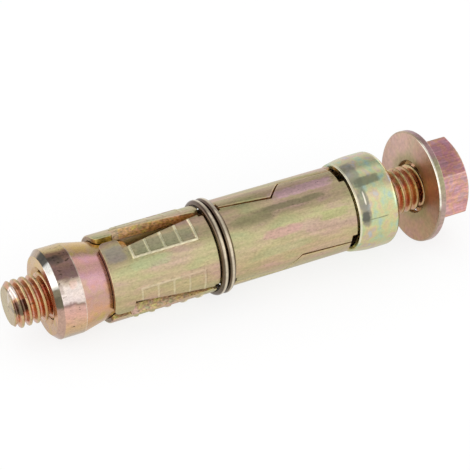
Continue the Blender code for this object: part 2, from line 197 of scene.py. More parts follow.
class NodeSheet:
    """A node tree that is filled one node at a time."""

    def __init__(self, tree: bpy.types.NodeTree) -> None:
        """Keep the tree and empty it."""
        self.tree = tree
        tree.nodes.clear()

    def add(
        self,
        kind: str,
        inputs: Sequence | dict = (),
        output: int | str = 0,
        stops: Iterable[tuple[float, str]] = (),
        **settings: object,
    ) -> Socket | None:
        """Add a node with its settings and links.

        Args:
            kind: The node's type in Blender.
            inputs: Values or sockets for its inputs, in order or by index or name. None leaves one alone.
            output: The output to hand back, by index or name.
            stops: Places and hex colours of a colour ramp, from low to high.
            **settings: The node's own properties.

        Returns:
            The socket of that output, or None for a node without outputs.
        """
        node = self.tree.nodes.new(kind)
        for name, value in settings.items():
            setattr(node, name, value)
        pairs = inputs.items() if isinstance(inputs, dict) else enumerate(inputs)
        for key, value in pairs:
            if isinstance(value, Socket):
                self.tree.links.new(value, node.inputs[key])
            elif value is not None:
                node.inputs[key].default_value = value
        for index, (place, colour) in enumerate(stops):
            ramp = node.color_ramp.elements
            stop = ramp[index] if index < len(ramp) else ramp.new(place)
            stop.position = place
            stop.color = linear(colour)
        return node.outputs[output] if len(node.outputs) else None


def blotches(
    sheet: NodeSheet, place: Socket, around_mm: float, along_mm: float, detail: float, seed: float = 0.0
) -> Socket:
    """Noise whose blotches have a real size.

    Args:
        sheet: The material's nodes.
        place: The point in millimetres about the bolt.
        around_mm: Size of a blotch across the bolt.
        along_mm: Size of a blotch along the bolt.
        detail: Octaves of finer noise.
        seed: Offset that sets one pattern apart from another.

    Returns:
        The noise, about 0.5 on average.
    """
    scale = (1.0 / around_mm, 1.0 / around_mm, 1.0 / along_mm)
    moved = sheet.add(
        "ShaderNodeMapping",
        {"Vector": place, "Location": (seed, seed, seed), "Scale": scale},
        vector_type="POINT",
    )
    return sheet.add("ShaderNodeTexNoise", {"Vector": moved, "Scale": 1.0, "Detail": detail})


@dataclass(frozen=True)
class StainAndHighlight:
    """One patch with ragged edges, used for stains of the film and for painted highlights: its middle, its
    half sizes and its colour.

    The middle is a place along the bolt in millimetres and an angle about it in degrees. A squareness of
    2 would make the patch an ellipse, and a greater one fills its corners.
    """

    place: float
    angle: float
    half_mm: float
    half_degrees: float
    colour: str
    strength: float = 0.8
    squareness: float = 4.0
    raggedness: float = 2.4
    edge: Point2 = (1.5, 2.6)

    def over(self, sheet: NodeSheet, film: Socket, along: Socket, angle: Socket, ragged: Socket) -> Socket:
        """Lay the patch over the film.

        Args:
            sheet: The material's nodes.
            film: The film's colour so far.
            along: The point's place along the bolt.
            angle: Its angle about the bolt, in radians.
            ragged: The noise of the edges.

        Returns:
            The colour with the patch.
        """
        half = math.radians(self.half_degrees)
        middle = math.radians(self.angle)
        maths = "ShaderNodeMath"
        start = -self.place / self.half_mm
        far = sheet.add(maths, (along, 1 / self.half_mm, start), operation="MULTIPLY_ADD")
        far = sheet.add(maths, (far, self.squareness), operation="POWER")
        wide = sheet.add(maths, (angle, 1 / half, -middle / half), operation="MULTIPLY_ADD")
        wide = sheet.add(maths, (wide, self.squareness), operation="POWER")
        reach = sheet.add(maths, (far, wide), operation="ADD")
        reach = sheet.add(maths, (ragged, self.raggedness, reach), operation="MULTIPLY_ADD")
        share = sheet.add("ShaderNodeMapRange", (reach, *self.edge, self.strength, 0.0))
        colour = linear(self.colour)
        return sheet.add("ShaderNodeMix", {0: share, 6: film, 7: colour}, output=2, data_type="RGBA")


# Half angle, in degrees, of a stain that runs all round the bolt: so wide that its ends never show.
ALL_ROUND = 500.0


@dataclass(frozen=True)
class CrestWearAndHighlight:
    """Where the film is drawn pale, from one radius about the bolt to another: rubbed wear on some pieces, a
    painted highlight on others.
    """

    from_r: float
    to_r: float
    colour: str
    share: float = 0.85

    def over(self, sheet: NodeSheet, film: Socket, place: Socket) -> Socket:
        """Make the film pale where the piece stands proud.

        Args:
            sheet: The material's nodes.
            film: The film's colour so far.
            place: The point in millimetres about the bolt.

        Returns:
            The colour with its pale crests.
        """
        across = sheet.add("ShaderNodeVectorMath", (place, (1.0, 1.0, 0.0)), operation="MULTIPLY")
        radius = sheet.add("ShaderNodeVectorMath", (across,), output="Value", operation="LENGTH")
        share = sheet.add("ShaderNodeMapRange", (radius, self.from_r, self.to_r, 0.0, self.share))
        pale = linear(self.colour)
        return sheet.add("ShaderNodeMix", {0: share, 6: film, 7: pale}, output=2, data_type="RGBA")


@dataclass(frozen=True)
class PlatedZinc:
    """Zinc plate with a yellow chromate film on steel.

    The film is thinner than a wavelength in places, so the metal shows straw, green and pink tints that
    drift in bands round a turned piece and in soft patches along it, over a fine crystalline grain. The
    real grains are about 0.02 mm across. They are drawn ten times as coarse, so that they show.

    The bands run once round the bolt: 0.5 is the front, and 0.75 the top. On some finishes they also hold
    painted highlights. The tints are dealt out by noise. The ranges say which of a noise's values, about 0.5
    on average, count as its lows and highs.
    """

    name: str
    bands: Stops
    tints: Stops
    tint_share: float = 0.5
    patch_around_mm: float = 2.0
    patch_along_mm: float = 6.0
    grain_mm: float = 0.22
    grain_share: float = 0.16
    streak_mm: float = 0.5
    streak_share: float = 0.1
    streak_along_mm: float = 7.0
    grain_stretch: float = 1.6
    grain_paleness: float = 0.6
    speck_share: float = 0.35
    speck_grains: Point2 = (1.8, 2.6)
    speck_colour: str = "#3a3022"
    ragged_mm: float = 0.7
    sway: float = 0.04
    stains_and_highlights: tuple[StainAndHighlight, ...] = ()
    crest: CrestWearAndHighlight | None = None
    roughness: Point2 = (0.24, 0.4)
    bump_mm: float = 0.012
    bump_strength: float = 0.6
    rough_range: Point2 = (0.25, 0.75)
    shade_range: Point2 = (0.3, 0.7)
    speck_range: Point2 = (0.66, 0.74)

    def build(self, axis: BoltAxis) -> Finish:
        """Make the material.

        Args:
            axis: The bolt's axis, which the bands and patches follow.

        Returns:
            The finished material.
        """
        material = bpy.data.materials.new(self.name)
        material.use_nodes = True
        sheet = NodeSheet(material.node_tree)
        colour, grain = self.film(sheet, bolt_coordinates(sheet, axis))
        normal = sheet.add(
            "ShaderNodeBump",
            {"Strength": self.bump_strength, "Distance": self.bump_mm * MM, "Height": grain},
        )
        rough = sheet.add("ShaderNodeMapRange", (grain, *self.rough_range, *self.roughness))
        shader = sheet.add(
            "ShaderNodeBsdfPrincipled",
            {"Base Color": colour, "Metallic": 1.0, "Roughness": rough, "Normal": normal},
        )
        sheet.add("ShaderNodeOutputMaterial", (shader,))
        return material

    def film(self, sheet: NodeSheet, place: Socket) -> tuple[Socket, Socket]:
        """The film's colour and the height of its grain.

        Args:
            sheet: The material's nodes.
            place: The point in millimetres about the bolt.

        Returns:
            The colour and the grain's height, from 0 to 1.
        """
        maths = "ShaderNodeMath"
        mapped = "ShaderNodeMapRange"
        parts = sheet.add("ShaderNodeSeparateXYZ", (place,)).node.outputs
        front = sheet.add(maths, (parts[1], -1.0), operation="MULTIPLY")
        top = sheet.add(maths, (parts[0], -1.0), operation="MULTIPLY")
        angle = sheet.add(maths, (top, front), operation="ARCTAN2")
        drift = blotches(sheet, place, self.patch_around_mm, self.patch_along_mm, 3.0)
        sway = sheet.add(mapped, (drift, 0.0, 1.0, 0.5 - self.sway, 0.5 + self.sway))
        turn = sheet.add(maths, (angle, 0.5 / math.pi, sway), operation="MULTIPLY_ADD")
        band = sheet.add("ShaderNodeValToRGB", (turn,), stops=self.bands)
        patch = blotches(sheet, place, self.patch_around_mm, self.patch_along_mm, 4.0, seed=7.3)
        tint = sheet.add("ShaderNodeValToRGB", (patch,), stops=self.tints)
        film = sheet.add("ShaderNodeMix", {0: self.tint_share, 6: band, 7: tint}, output=2, data_type="RGBA")
        if self.crest:
            film = self.crest.over(sheet, film, place)
        if self.stains_and_highlights:
            ragged = blotches(sheet, place, self.ragged_mm, self.ragged_mm, 3.0, seed=5.2)
            for marking in self.stains_and_highlights:
                film = marking.over(sheet, film, parts[2], angle, ragged)
        streak = blotches(sheet, place, self.streak_mm, self.streak_along_mm, 2.0, seed=3.1)
        grain = blotches(sheet, place, self.grain_mm, self.grain_mm * self.grain_stretch, 3.0, seed=1.7)
        darkest, palest = 1.0 - self.grain_share, 1.0 + self.grain_share * self.grain_paleness
        shade = sheet.add(mapped, (grain, *self.shade_range, darkest, palest))
        darkest, palest = 1.0 - self.streak_share, 1.0 + self.streak_share
        lined = sheet.add(mapped, (streak, *self.shade_range, darkest, palest))
        both = sheet.add(maths, (shade, lined), operation="MULTIPLY")
        worn = sheet.add("ShaderNodeVectorMath", {0: film, 3: both}, operation="SCALE")
        speck_around, speck_along = (self.grain_mm * grains for grains in self.speck_grains)
        pits = blotches(sheet, place, speck_around, speck_along, 1.0, seed=9.9)
        speck = sheet.add(mapped, (pits, *self.speck_range, 0.0, self.speck_share))
        dark = linear(self.speck_colour)
        colour = sheet.add("ShaderNodeMix", {0: speck, 6: worn, 7: dark}, output=2, data_type="RGBA")
        return colour, grain


def bolt_coordinates(sheet: NodeSheet, axis: BoltAxis) -> Socket:
    """Object coordinates turned into millimetres about the bolt.

    Args:
        sheet: The material's nodes.
        axis: The bolt's axis in the frame.

    Returns:
        The point with local +Z towards the head.
    """
    matrix = axis.to_frame()
    coordinates = sheet.add("ShaderNodeTexCoord", output="Object")
    return sheet.add(
        "ShaderNodeMapping",
        {
            "Vector": coordinates,
            "Location": matrix.to_translation(),
            "Rotation": matrix.to_euler(),
            "Scale": (MM, MM, MM),
        },
        vector_type="TEXTURE",
    )


def filleted(
    corners: Sequence[tuple[float, float, float]], steps: int = 6, support: float = 0.03
) -> list[Point2]:
    """Round the corners of a closed outline, with a support point beside each arc.

    Args:
        corners: Radius, place and fillet radius of each corner, in order round the outline.
        steps: Steps in each arc.
        support: How far the support points are from the arc.

    Returns:
        The rounded outline.
    """
    outline: list[Point2] = []
    for index, (r, s, fillet) in enumerate(corners):
        here = Vector((r, s))
        before = Vector(corners[index - 1][:2]) - here
        after = Vector(corners[(index + 1) % len(corners)][:2]) - here
        if fillet <= 0:
            outline.append((r, s))
            continue
        back = before.normalized()
        on = after.normalized()
        half = before.angle(after) / 2
        reach = fillet / math.tan(half)
        first = here + back * reach
        last = here + on * reach
        centre = here + (back + on).normalized() * (fillet / math.sin(half))
        if before.length > reach + 2 * support:
            outline.append(tuple(first + back * support))
        for step in range(steps + 1):
            spoke = (first - centre).slerp(last - centre, step / steps).normalized()
            outline.append(tuple(centre + spoke * fillet))
        if after.length > reach + 2 * support:
            outline.append(tuple(last + on * support))
    return outline


def ring_faces(rings: int, steps: int, closed: bool) -> list[tuple[int, int, int, int]]:
    """Quads between rings of points, ring after ring.

    Args:
        rings: How many rings there are.
        steps: Points in each ring.
        closed: Whether the last ring joins the first.

    Returns:
        The faces.
    """
    faces = []
    for ring in range(rings if closed else rings - 1):
        a = ring * steps
        b = (ring + 1) % rings * steps
        faces += [(a + i, a + (i + 1) % steps, b + (i + 1) % steps, b + i) for i in range(steps)]
    return faces


def lathe(name: str, outline: Sequence[Point2], steps: int = 160) -> bpy.types.Mesh:
    """Turn a closed outline about the bolt's axis.

    Args:
        name: The mesh's name.
        outline: Radius and place of each point of the section.
        steps: Facets round the piece.

    Returns:
        The mesh, in millimetres.
    """
    turns = np.linspace(0.0, 2 * math.pi, steps, endpoint=False)
    points = [(r * math.cos(t), r * math.sin(t), s) for r, s in outline for t in turns]
    mesh = bpy.data.meshes.new(name)
    mesh.from_pydata(points, [], ring_faces(len(outline), steps, closed=True))
    return mesh


def finish_piece(
    name: str,
    mesh: bpy.types.Mesh,
    axis: BoltAxis,
    body: Body,
    materials: Sequence[Finish] = (),
    sharp_degrees: float = 32.0,
    weld_mm: float = 1e-4,
) -> None:
    """Lay a mesh into the frame as the piece that stands for a solid of the same name.

    Args:
        name: The solid's name.
        mesh: The mesh, in millimetres about the bolt.
        axis: The bolt's axis in the frame.
        body: The body that the piece rides on.
        materials: Its materials, where the mesh has none yet.
        sharp_degrees: Edges that turn more than this stay sharp.
        weld_mm: Points closer together than this become one.
    """
    solid = bmesh.new()
    solid.from_mesh(mesh)
    bmesh.ops.remove_doubles(solid, verts=solid.verts, dist=weld_mm)
    bmesh.ops.recalc_face_normals(solid, faces=solid.faces)
    solid.to_mesh(mesh)
    open_edges = sum(1 for edge in solid.edges if not edge.is_manifold)
    faces = len(solid.faces)
    solid.free()
    mesh.transform(axis.to_frame())
    for material in materials:
        mesh.materials.append(material)
    mesh.shade_smooth()
    mesh.set_sharp_from_angle(angle=math.radians(sharp_degrees))
    piece = bpy.data.objects.new(f"{name}_finished", mesh)
    bpy.context.scene.collection.objects.link(piece)
    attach(piece, body.value)
    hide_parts(name)
    LOG.info("%s: %d faces, %d open edges, rides on %s", piece.name, faces, open_edges, body.value)


def grown(mesh: bpy.types.Mesh, tree: bpy.types.NodeTree, values: dict[str, object]) -> bpy.types.Mesh:
    """Run a Geometry Nodes tree on a mesh and keep what it makes as a plain mesh.

    Args:
        mesh: The mesh that the tree starts from.
        tree: The tree.
        values: Its inputs by name.

    Returns:
        The result.
    """
    carrier = bpy.data.objects.new(f"{mesh.name}_carrier", mesh)
    bpy.context.scene.collection.objects.link(carrier)
    modifier = carrier.modifiers.new("growth", "NODES")
    modifier.node_group = tree
    for socket in tree.interface.items_tree:
        if socket.in_out == "INPUT" and socket.name in values:
            modifier[socket.identifier] = values[socket.name]
    carrier.update_tag()
    evaluated = carrier.evaluated_get(bpy.context.evaluated_depsgraph_get())
    result = bpy.data.meshes.new_from_object(evaluated)
    carrier.modifiers.remove(modifier)
    bpy.data.objects.remove(carrier, do_unlink=True)
    return result


class GrowthTree:
    """A Geometry Nodes tree with named inputs, ending in Realize Instances and Set Material."""

    def __init__(self, name: str, sizes: Sequence[str], counts: Sequence[str]) -> None:
        """Start the tree.

        Args:
            name: The tree's name.
            sizes: Names of its inputs for sizes, after the geometry and the finish.
            counts: Names of its inputs for whole numbers.
        """
        self.tree = bpy.data.node_groups.new(name, "GeometryNodeTree")
        face = self.tree.interface
        face.new_socket("Geometry", in_out="INPUT", socket_type="NodeSocketGeometry")
        face.new_socket("Finish", in_out="INPUT", socket_type="NodeSocketMaterial")
        for labels, kind in ((sizes, "NodeSocketFloat"), (counts, "NodeSocketInt")):
            for label in labels:
                face.new_socket(label, in_out="INPUT", socket_type=kind)
        face.new_socket("Geometry", in_out="OUTPUT", socket_type="NodeSocketGeometry")
        self.sheet = NodeSheet(self.tree)
        self.source = self.sheet.add("NodeGroupInput").node

    def value(self, label: str) -> Socket:
        """The socket of a named input."""
        return self.source.outputs[label]

    def end(self, geometry: Socket, dressed: bool = True) -> bpy.types.NodeTree:
        """Close the tree.

        Args:
            geometry: The geometry to hand out.
            dressed: Whether the finish covers all of it, or the mesh keeps its own materials.

        Returns:
            The tree.
        """
        real = self.sheet.add("GeometryNodeRealizeInstances", (geometry,))
        if dressed:
            dress = {"Geometry": real, "Material": self.value("Finish")}
            real = self.sheet.add("GeometryNodeSetMaterial", dress)
        self.sheet.add("NodeGroupOutput", (real,))
        return self.tree


@dataclass
class Bolt:
    """The hexagon bolt, with a rolled thread along its whole shank."""

    sizes: AnchorSizes
    pitch: float = 1.0
    thread_depth: float = 0.58
    thread_angle: float = 327.0
    tip_face_r: float = 2.35
    neck_r: float = 2.8
    neck_run: float = 0.9
    neck_plain: float = 0.35
    root_share: float = 0.14
    crest_share: float = 0.82
    head_height: float = 4.15
    head_flats: float = 10.0
    head_crown: float = 0.25
    corner_angle: float = 34.5
    corner_roundness: float = 90.0
    corner_crowding: float = 0.75
    bearing_height: float = 0.15
    chamfer: float = 0.05
    support: float = 0.04
    edge_r: float = 0.16
    crown_edge_r: float = 0.128
    crown_slope: float = 30.0
    crown_flat: float = 0.3
    around: int = 72
    pitch_steps: int = 12
    head_steps: int = 216
    weld_mm: float = 1e-3
    row_nudge: float = 1e-4

    def thread_tree(self) -> bpy.types.NodeTree:
        """Wind a sheet of points into the thread, from the tip's flat face up to the neck.

        The first two turns of the sheet are flat: they close the tip. Rows of points run round the bolt,
        and each row is one step of the pitch further along it. The nudge keeps rounding from putting the
        row that starts a pitch at the end of the pitch before.

        Returns:
            The tree.
        """
        sizes = ("Pitch", "Crest radius", "Depth", "Start", "End", "Start angle")
        sizes += ("Tip radius", "Neck radius", "Neck run")
        counts = ("Turns", "Points around", "Points a pitch")
        growth = GrowthTree("rolled_thread", sizes, counts)
        add = growth.sheet.add
        value = growth.value
        maths = "ShaderNodeMath"
        all_rows = add(maths, (value("Turns"), value("Points a pitch")), operation="MULTIPLY")
        rows = add(maths, (all_rows, 1.0), operation="ADD")
        columns = add(maths, (value("Points around"), 1.0), operation="ADD")
        blank = add("GeometryNodeMeshGrid", (1.0, all_rows, columns, rows))
        blank_place = add("ShaderNodeSeparateXYZ", (add("GeometryNodeInputPosition"),)).node.outputs
        turn = add(maths, (blank_place[0], 0.5), operation="ADD")
        row = add(maths, (all_rows, 0.5, blank_place[1]), operation="MULTIPLY_ADD")
        pitches = add(maths, (row, value("Points a pitch")), operation="DIVIDE")
        lead = add(maths, (pitches, turn), operation="ADD")
        lead = add(maths, (lead, 2.0), operation="SUBTRACT")
        raw = add(maths, (lead, value("Pitch"), value("Start")), operation="MULTIPLY_ADD")
        place = add(maths, (raw, value("Start")), operation="MAXIMUM")
        place = add(maths, (place, value("End")), operation="MINIMUM")
        nudged = add(maths, (pitches, self.row_nudge), operation="ADD")
        phase = add(maths, (nudged,), operation="FRACT")
        swing = add(maths, (phase, 2.0, -1.0), operation="MULTIPLY_ADD")
        swing = add(maths, (swing,), operation="ABSOLUTE")
        root = add(maths, (value("Crest radius"), value("Depth")), operation="SUBTRACT")
        wave = add(
            "ShaderNodeMapRange",
            (swing, self.root_share, self.crest_share, root, value("Crest radius")),
            interpolation_type="SMOOTHSTEP",
        )
        from_tip = add(maths, (place, value("Start")), operation="SUBTRACT")
        chamfer = add(maths, (from_tip, value("Tip radius")), operation="ADD")
        radius = add(maths, (wave, chamfer), operation="MINIMUM")
        to_neck = add(maths, (value("End"), place), operation="SUBTRACT")
        neck_share = add(maths, (to_neck, value("Neck run")), operation="DIVIDE")
        radius = add(
            "ShaderNodeMapRange",
            (neck_share, self.neck_plain, 1.0, value("Neck radius"), radius),
            interpolation_type="SMOOTHSTEP",
        )
        outside_cap = add(maths, (lead, self.row_nudge - 1.0), operation="GREATER_THAN")
        radius = add(maths, (radius, outside_cap), operation="MULTIPLY")
        angle = add(maths, (turn, 2 * math.pi, value("Start angle")), operation="MULTIPLY_ADD")
        cosine = add(maths, (angle,), operation="COSINE")
        sine = add(maths, (angle,), operation="SINE")
        across = add(maths, (cosine, radius), operation="MULTIPLY")
        depth = add(maths, (sine, radius), operation="MULTIPLY")
        wound = add("ShaderNodeCombineXYZ", (across, depth, place))
        shaped = add("GeometryNodeSetPosition", {"Geometry": blank, "Position": wound})
        welded = add("GeometryNodeMergeByDistance", {"Geometry": shaped, "Distance": self.weld_mm})
        return growth.end(welded)

    def head_rings(self) -> tuple[np.ndarray, np.ndarray]:
        """The head as rings of points, from the bearing face's outer edge up to the crown.

        Returns:
            The radii and the places, one row for each ring and one column for each direction.
        """
        s = self.sizes
        turns = self.head_turns()
        flats = [math.radians(self.corner_angle + 30 + 60 * i) for i in range(6)]
        facing = sum(np.maximum(np.cos(turns - flat), 0.0) ** self.corner_roundness for flat in flats)
        hexagon = self.head_flats / 2 / facing ** (1 / self.corner_roundness)
        slope = math.tan(math.radians(self.crown_slope))
        top = s.head_s + self.head_height
        face_r = self.head_flats / 2 - self.head_crown
        under = s.head_s + self.bearing_height
        shoulder = top - (hexagon - face_r) * slope
        lift = self.crown_edge_r / 10
        sink = self.crown_edge_r / 50
        radii = []
        places = []

        def ring(radius: np.ndarray | float, place: np.ndarray | float) -> None:
            """Add one ring."""
            radii.append(np.broadcast_to(radius, turns.shape))
            places.append(np.broadcast_to(place, turns.shape))

        ring(s.bearing_r - self.chamfer, s.head_s)
        ring(s.bearing_r, s.head_s + self.support)
        ring(s.bearing_r, under)
        for turn in np.radians((90.0, 60.0, 30.0, 0.0)):
            drop = self.edge_r * (1 - math.cos(turn))
            ring(hexagon - drop, under + self.edge_r * (1 - math.sin(turn)))
        ring(hexagon, under + self.edge_r + self.support)
        for share in (0.33, 0.66):
            ring(hexagon, under + (shoulder - under) * share)
        ring(hexagon, shoulder - self.crown_edge_r - self.support)
        for turn in np.radians((0.0, 20.0, 40.0, 60.0)):
            drop = self.crown_edge_r * (1 - math.cos(turn))
            ring(hexagon - drop, shoulder - self.crown_edge_r * (1 - math.sin(turn)) + lift)
        for share in (0.3, 0.6, 0.92):
            radius = hexagon + (face_r - hexagon) * share
            ring(radius, top - (radius - face_r) * slope - sink)
        ring(face_r - self.chamfer, top - self.chamfer / 10)
        ring(face_r - self.crown_flat, top)
        return np.array(radii), np.array(places)

    def head_turns(self) -> np.ndarray:
        """Directions of the head's points, closer together near its corners.

        Returns:
            The directions, in radians.
        """
        share = np.arange(self.head_steps) * 6 / self.head_steps
        crowded = self.corner_crowding * np.sin(2 * math.pi * (share % 1.0)) / (2 * math.pi)
        return np.radians(self.corner_angle + 60.0 * (share - crowded))

    def mesh(self, finish: Finish, head: Finish) -> bpy.types.Mesh:
        """Join thread and head into one closed mesh.

        Args:
            finish: The thread's material.
            head: The head's material.

        Returns:
            The mesh, in millimetres.
        """
        s = self.sizes
        values = {
            "Finish": finish,
            "Pitch": self.pitch,
            "Crest radius": s.thread_r,
            "Depth": self.thread_depth,
            "Start": s.tip_s,
            "End": s.head_s,
            "Start angle": math.radians(self.thread_angle),
            "Tip radius": self.tip_face_r,
            "Neck radius": self.neck_r,
            "Neck run": self.neck_run,
            "Turns": math.ceil(s.bolt_length / self.pitch) + 2,
            "Points around": self.around,
            "Points a pitch": self.pitch_steps,
        }
        thread = grown(bpy.data.meshes.new("bolt_thread"), self.thread_tree(), values)
        solid = bmesh.new()
        solid.from_mesh(thread)
        collar = [edge for edge in solid.edges if edge.is_boundary]
        turns = self.head_turns()
        rings = []
        for radii, places in zip(*self.head_rings()):
            points = zip(-radii * np.sin(turns), -radii * np.cos(turns), places)
            rings.append([solid.verts.new(point) for point in points])
        count = self.head_steps
        for lower, upper in zip(rings, rings[1:]):
            for i in range(count):
                j = (i + 1) % count
                solid.faces.new((lower[i], lower[j], upper[j], upper[i]))
        crown = solid.verts.new((0.0, 0.0, s.head_s + self.head_height))
        for i in range(count):
            solid.faces.new((rings[-1][i], rings[-1][(i + 1) % count], crown))
        bearing = [solid.edges.get((rings[0][i], rings[0][(i + 1) % count])) for i in range(count)]
        bmesh.ops.bridge_loops(solid, edges=bearing + collar)
        mesh = bpy.data.meshes.new("bolt")
        solid.to_mesh(mesh)
        solid.free()
        mesh.materials.clear()
        mesh.materials.append(finish)
        mesh.materials.append(head)
        for face in mesh.polygons:
            face.material_index = int(face.center.z > s.head_s + self.support / 4)
        return mesh


@dataclass
class ExpanderNut:
    """The expander nut: a glossy chamfered collar that runs into the cone inside the shield."""

    sizes: AnchorSizes
    bore_gap: float = 0.15
    wall: float = 2.5
    collar: float = 3.5
    chamfer: float = 0.7
    countersink: float = 0.55
    cone_inside: float = 3.95
    cone_fillet: float = 0.06
    cone_end_fillet: float = 0.12
    chamfer_fillets: Point2 = (0.1, 0.14)
    bore_fillet: float = 0.1
    bore_end_fillet: float = 0.08

    @property
    def bore_r(self) -> float:
        """Radius of the threaded hole."""
        return self.sizes.thread_r + self.bore_gap

    @property
    def outer_r(self) -> float:
        """Radius of the collar."""
        return self.bore_r + self.wall

    @property
    def cone_s(self) -> float:
        """Place where the collar ends and the cone starts.

        Returns:
            The place, at which the cone reaches the shield's open end with its gap.
        """
        s = self.sizes
        seat_r = s.shield_r - s.tip_wall - s.cone_gap
        return s.tip_end_s - (self.outer_r - seat_r) / s.cone_slope

    def cone_r(self, place: np.ndarray | float) -> np.ndarray | float:
        """The cone's radius at a place along the bolt."""
        return self.outer_r - self.sizes.cone_slope * (place - self.cone_s)

    def mesh(self, collar: Finish, cone: Finish, chamfer: Finish) -> bpy.types.Mesh:
        """Turn the nut's section and dress its three turned surfaces.

        Args:
            collar: Finish of the collar.
            cone: Finish of the cone, the face and the bore.
            chamfer: Finish of the chamfer.

        Returns:
            The mesh, in millimetres.
        """
        face_s = self.cone_s - self.collar
        end_s = self.sizes.tip_end_s + self.cone_inside
        collar_fillet, face_fillet = self.chamfer_fillets
        corners = [
            (self.cone_r(end_s), end_s, self.cone_end_fillet),
            (self.outer_r, self.cone_s, self.cone_fillet),
            (self.outer_r, face_s + self.chamfer, collar_fillet),
            (self.outer_r - self.chamfer, face_s, face_fillet),
            (self.bore_r + self.countersink, face_s, self.bore_fillet),
            (self.bore_r, face_s + self.countersink, self.bore_fillet),
            (self.bore_r, end_s, self.bore_end_fillet),
        ]
        mesh = lathe("expander_nut", filleted(corners))
        for finish in (collar, cone, chamfer):
            mesh.materials.append(finish)
        for face in mesh.polygons:
            radius = math.hypot(face.center.x, face.center.y)
            inside = radius < self.outer_r - self.chamfer
            if face.center.z > self.cone_s or inside:
                face.material_index = 1
            elif face.center.z < face_s + self.chamfer:
                face.material_index = 2
        return mesh


@dataclass
class Ferrule:
    """The drawn ferrule, open over the tongues, with a rounded shoulder round the bolt."""

    sizes: AnchorSizes
    end_s: float = 20.45
    length: float = 5.8
    wall: float = 0.62
    hole_gap: float = 0.4
    shoulder_r: float = 0.95
    flare_run: float = 3.0
    lip: float = 1.05
    neck_gap: float = 0.17
    hook_gap: float = 0.21
    hole_fillet: float = 0.12
    rim_fillets: Point2 = (0.16, 0.14)
    lip_fillet: float = 0.1
    flare_fillet: float = 0.2
    flare_steps: int = 10
    arc_steps: int = 8
    around: int = 192

    def mesh(self) -> bpy.types.Mesh:
        """Turn the ferrule's section.

        Returns:
            The mesh, in millimetres.
        """
        s = self.sizes
        rim_s = self.end_s - self.length
        rim_bore = s.neck_r + self.neck_gap
        bore = s.hook_r + self.hook_gap
        outer = bore + self.wall
        rim_outer = rim_bore + self.wall
        hole = s.thread_r + self.hole_gap
        swell = [
            (
                rim_outer + (outer - rim_outer) * math.sin(part / self.flare_steps * math.pi / 2),
                rim_s + self.flare_run * part / self.flare_steps,
                0.0,
            )
            for part in range(self.flare_steps, 0, -1)
        ]
        outer_fillet, inner_fillet = self.rim_fillets
        corners = [
            (hole, self.end_s, self.hole_fillet),
            (outer, self.end_s, self.shoulder_r),
            *swell,
            (rim_outer, rim_s, outer_fillet),
            (rim_bore, rim_s, inner_fillet),
            (rim_bore, rim_s + self.lip, self.lip_fillet),
            (bore, rim_s + self.flare_run, self.flare_fillet),
            (bore, self.end_s - self.wall, self.shoulder_r - self.wall),
            (hole, self.end_s - self.wall, self.hole_fillet),
        ]
        return lathe("ferrule", filleted(corners, steps=self.arc_steps), steps=self.around)


@dataclass
class Washer:
    """The stamped washer, which leans on the bolt."""

    sizes: AnchorSizes
    outer_r: float = 7.25
    hole_gap: float = 0.5
    thickness: float = 1.0
    edge_r: float = 0.2
    hole_edge_r: float = 0.15
    lean: float = 4.0
    head_gap: float = 0.42
    around: int = 192

    @property
    def place(self) -> float:
        """Place of its middle along the bolt.

        Returns:
            The place, at which the leaning washer keeps its gap to the head.
        """
        turn = math.radians(self.lean)
        reach = self.thickness / 2 / math.cos(turn) + self.sizes.bearing_r * math.tan(turn)
        return self.sizes.head_s - reach - self.head_gap

    def mesh(self, face: Finish, edge: Finish, rim: Finish) -> bpy.types.Mesh:
        """Turn the washer's section, dress it and lean it.

        Args:
            face: Finish of both faces and the hole.
            edge: Finish of the edge between the rim and the face towards the tip, which carries a painted
                highlight.
            rim: Finish of the rim.

        Returns:
            The mesh, in millimetres.
        """
        half = self.thickness / 2
        hole = self.sizes.thread_r + self.hole_gap
        corners = [
            (hole, half, self.hole_edge_r),
            (self.outer_r, half, self.edge_r),
            (self.outer_r, -half, self.edge_r),
            (hole, -half, self.hole_edge_r),
        ]
        mesh = lathe("washer", filleted(corners), steps=self.around)
        for finish in (face, edge, rim):
            mesh.materials.append(finish)
        for part in mesh.polygons:
            radius = math.hypot(part.center.x, part.center.y)
            if radius < self.outer_r - self.edge_r:
                continue
            part.material_index = 1 if part.center.z < self.edge_r - half else 2
        lean = Matrix.Rotation(math.radians(self.lean), 4, "Y")
        mesh.transform(Matrix.Translation((0.0, 0.0, self.place)) @ lean)
        return mesh


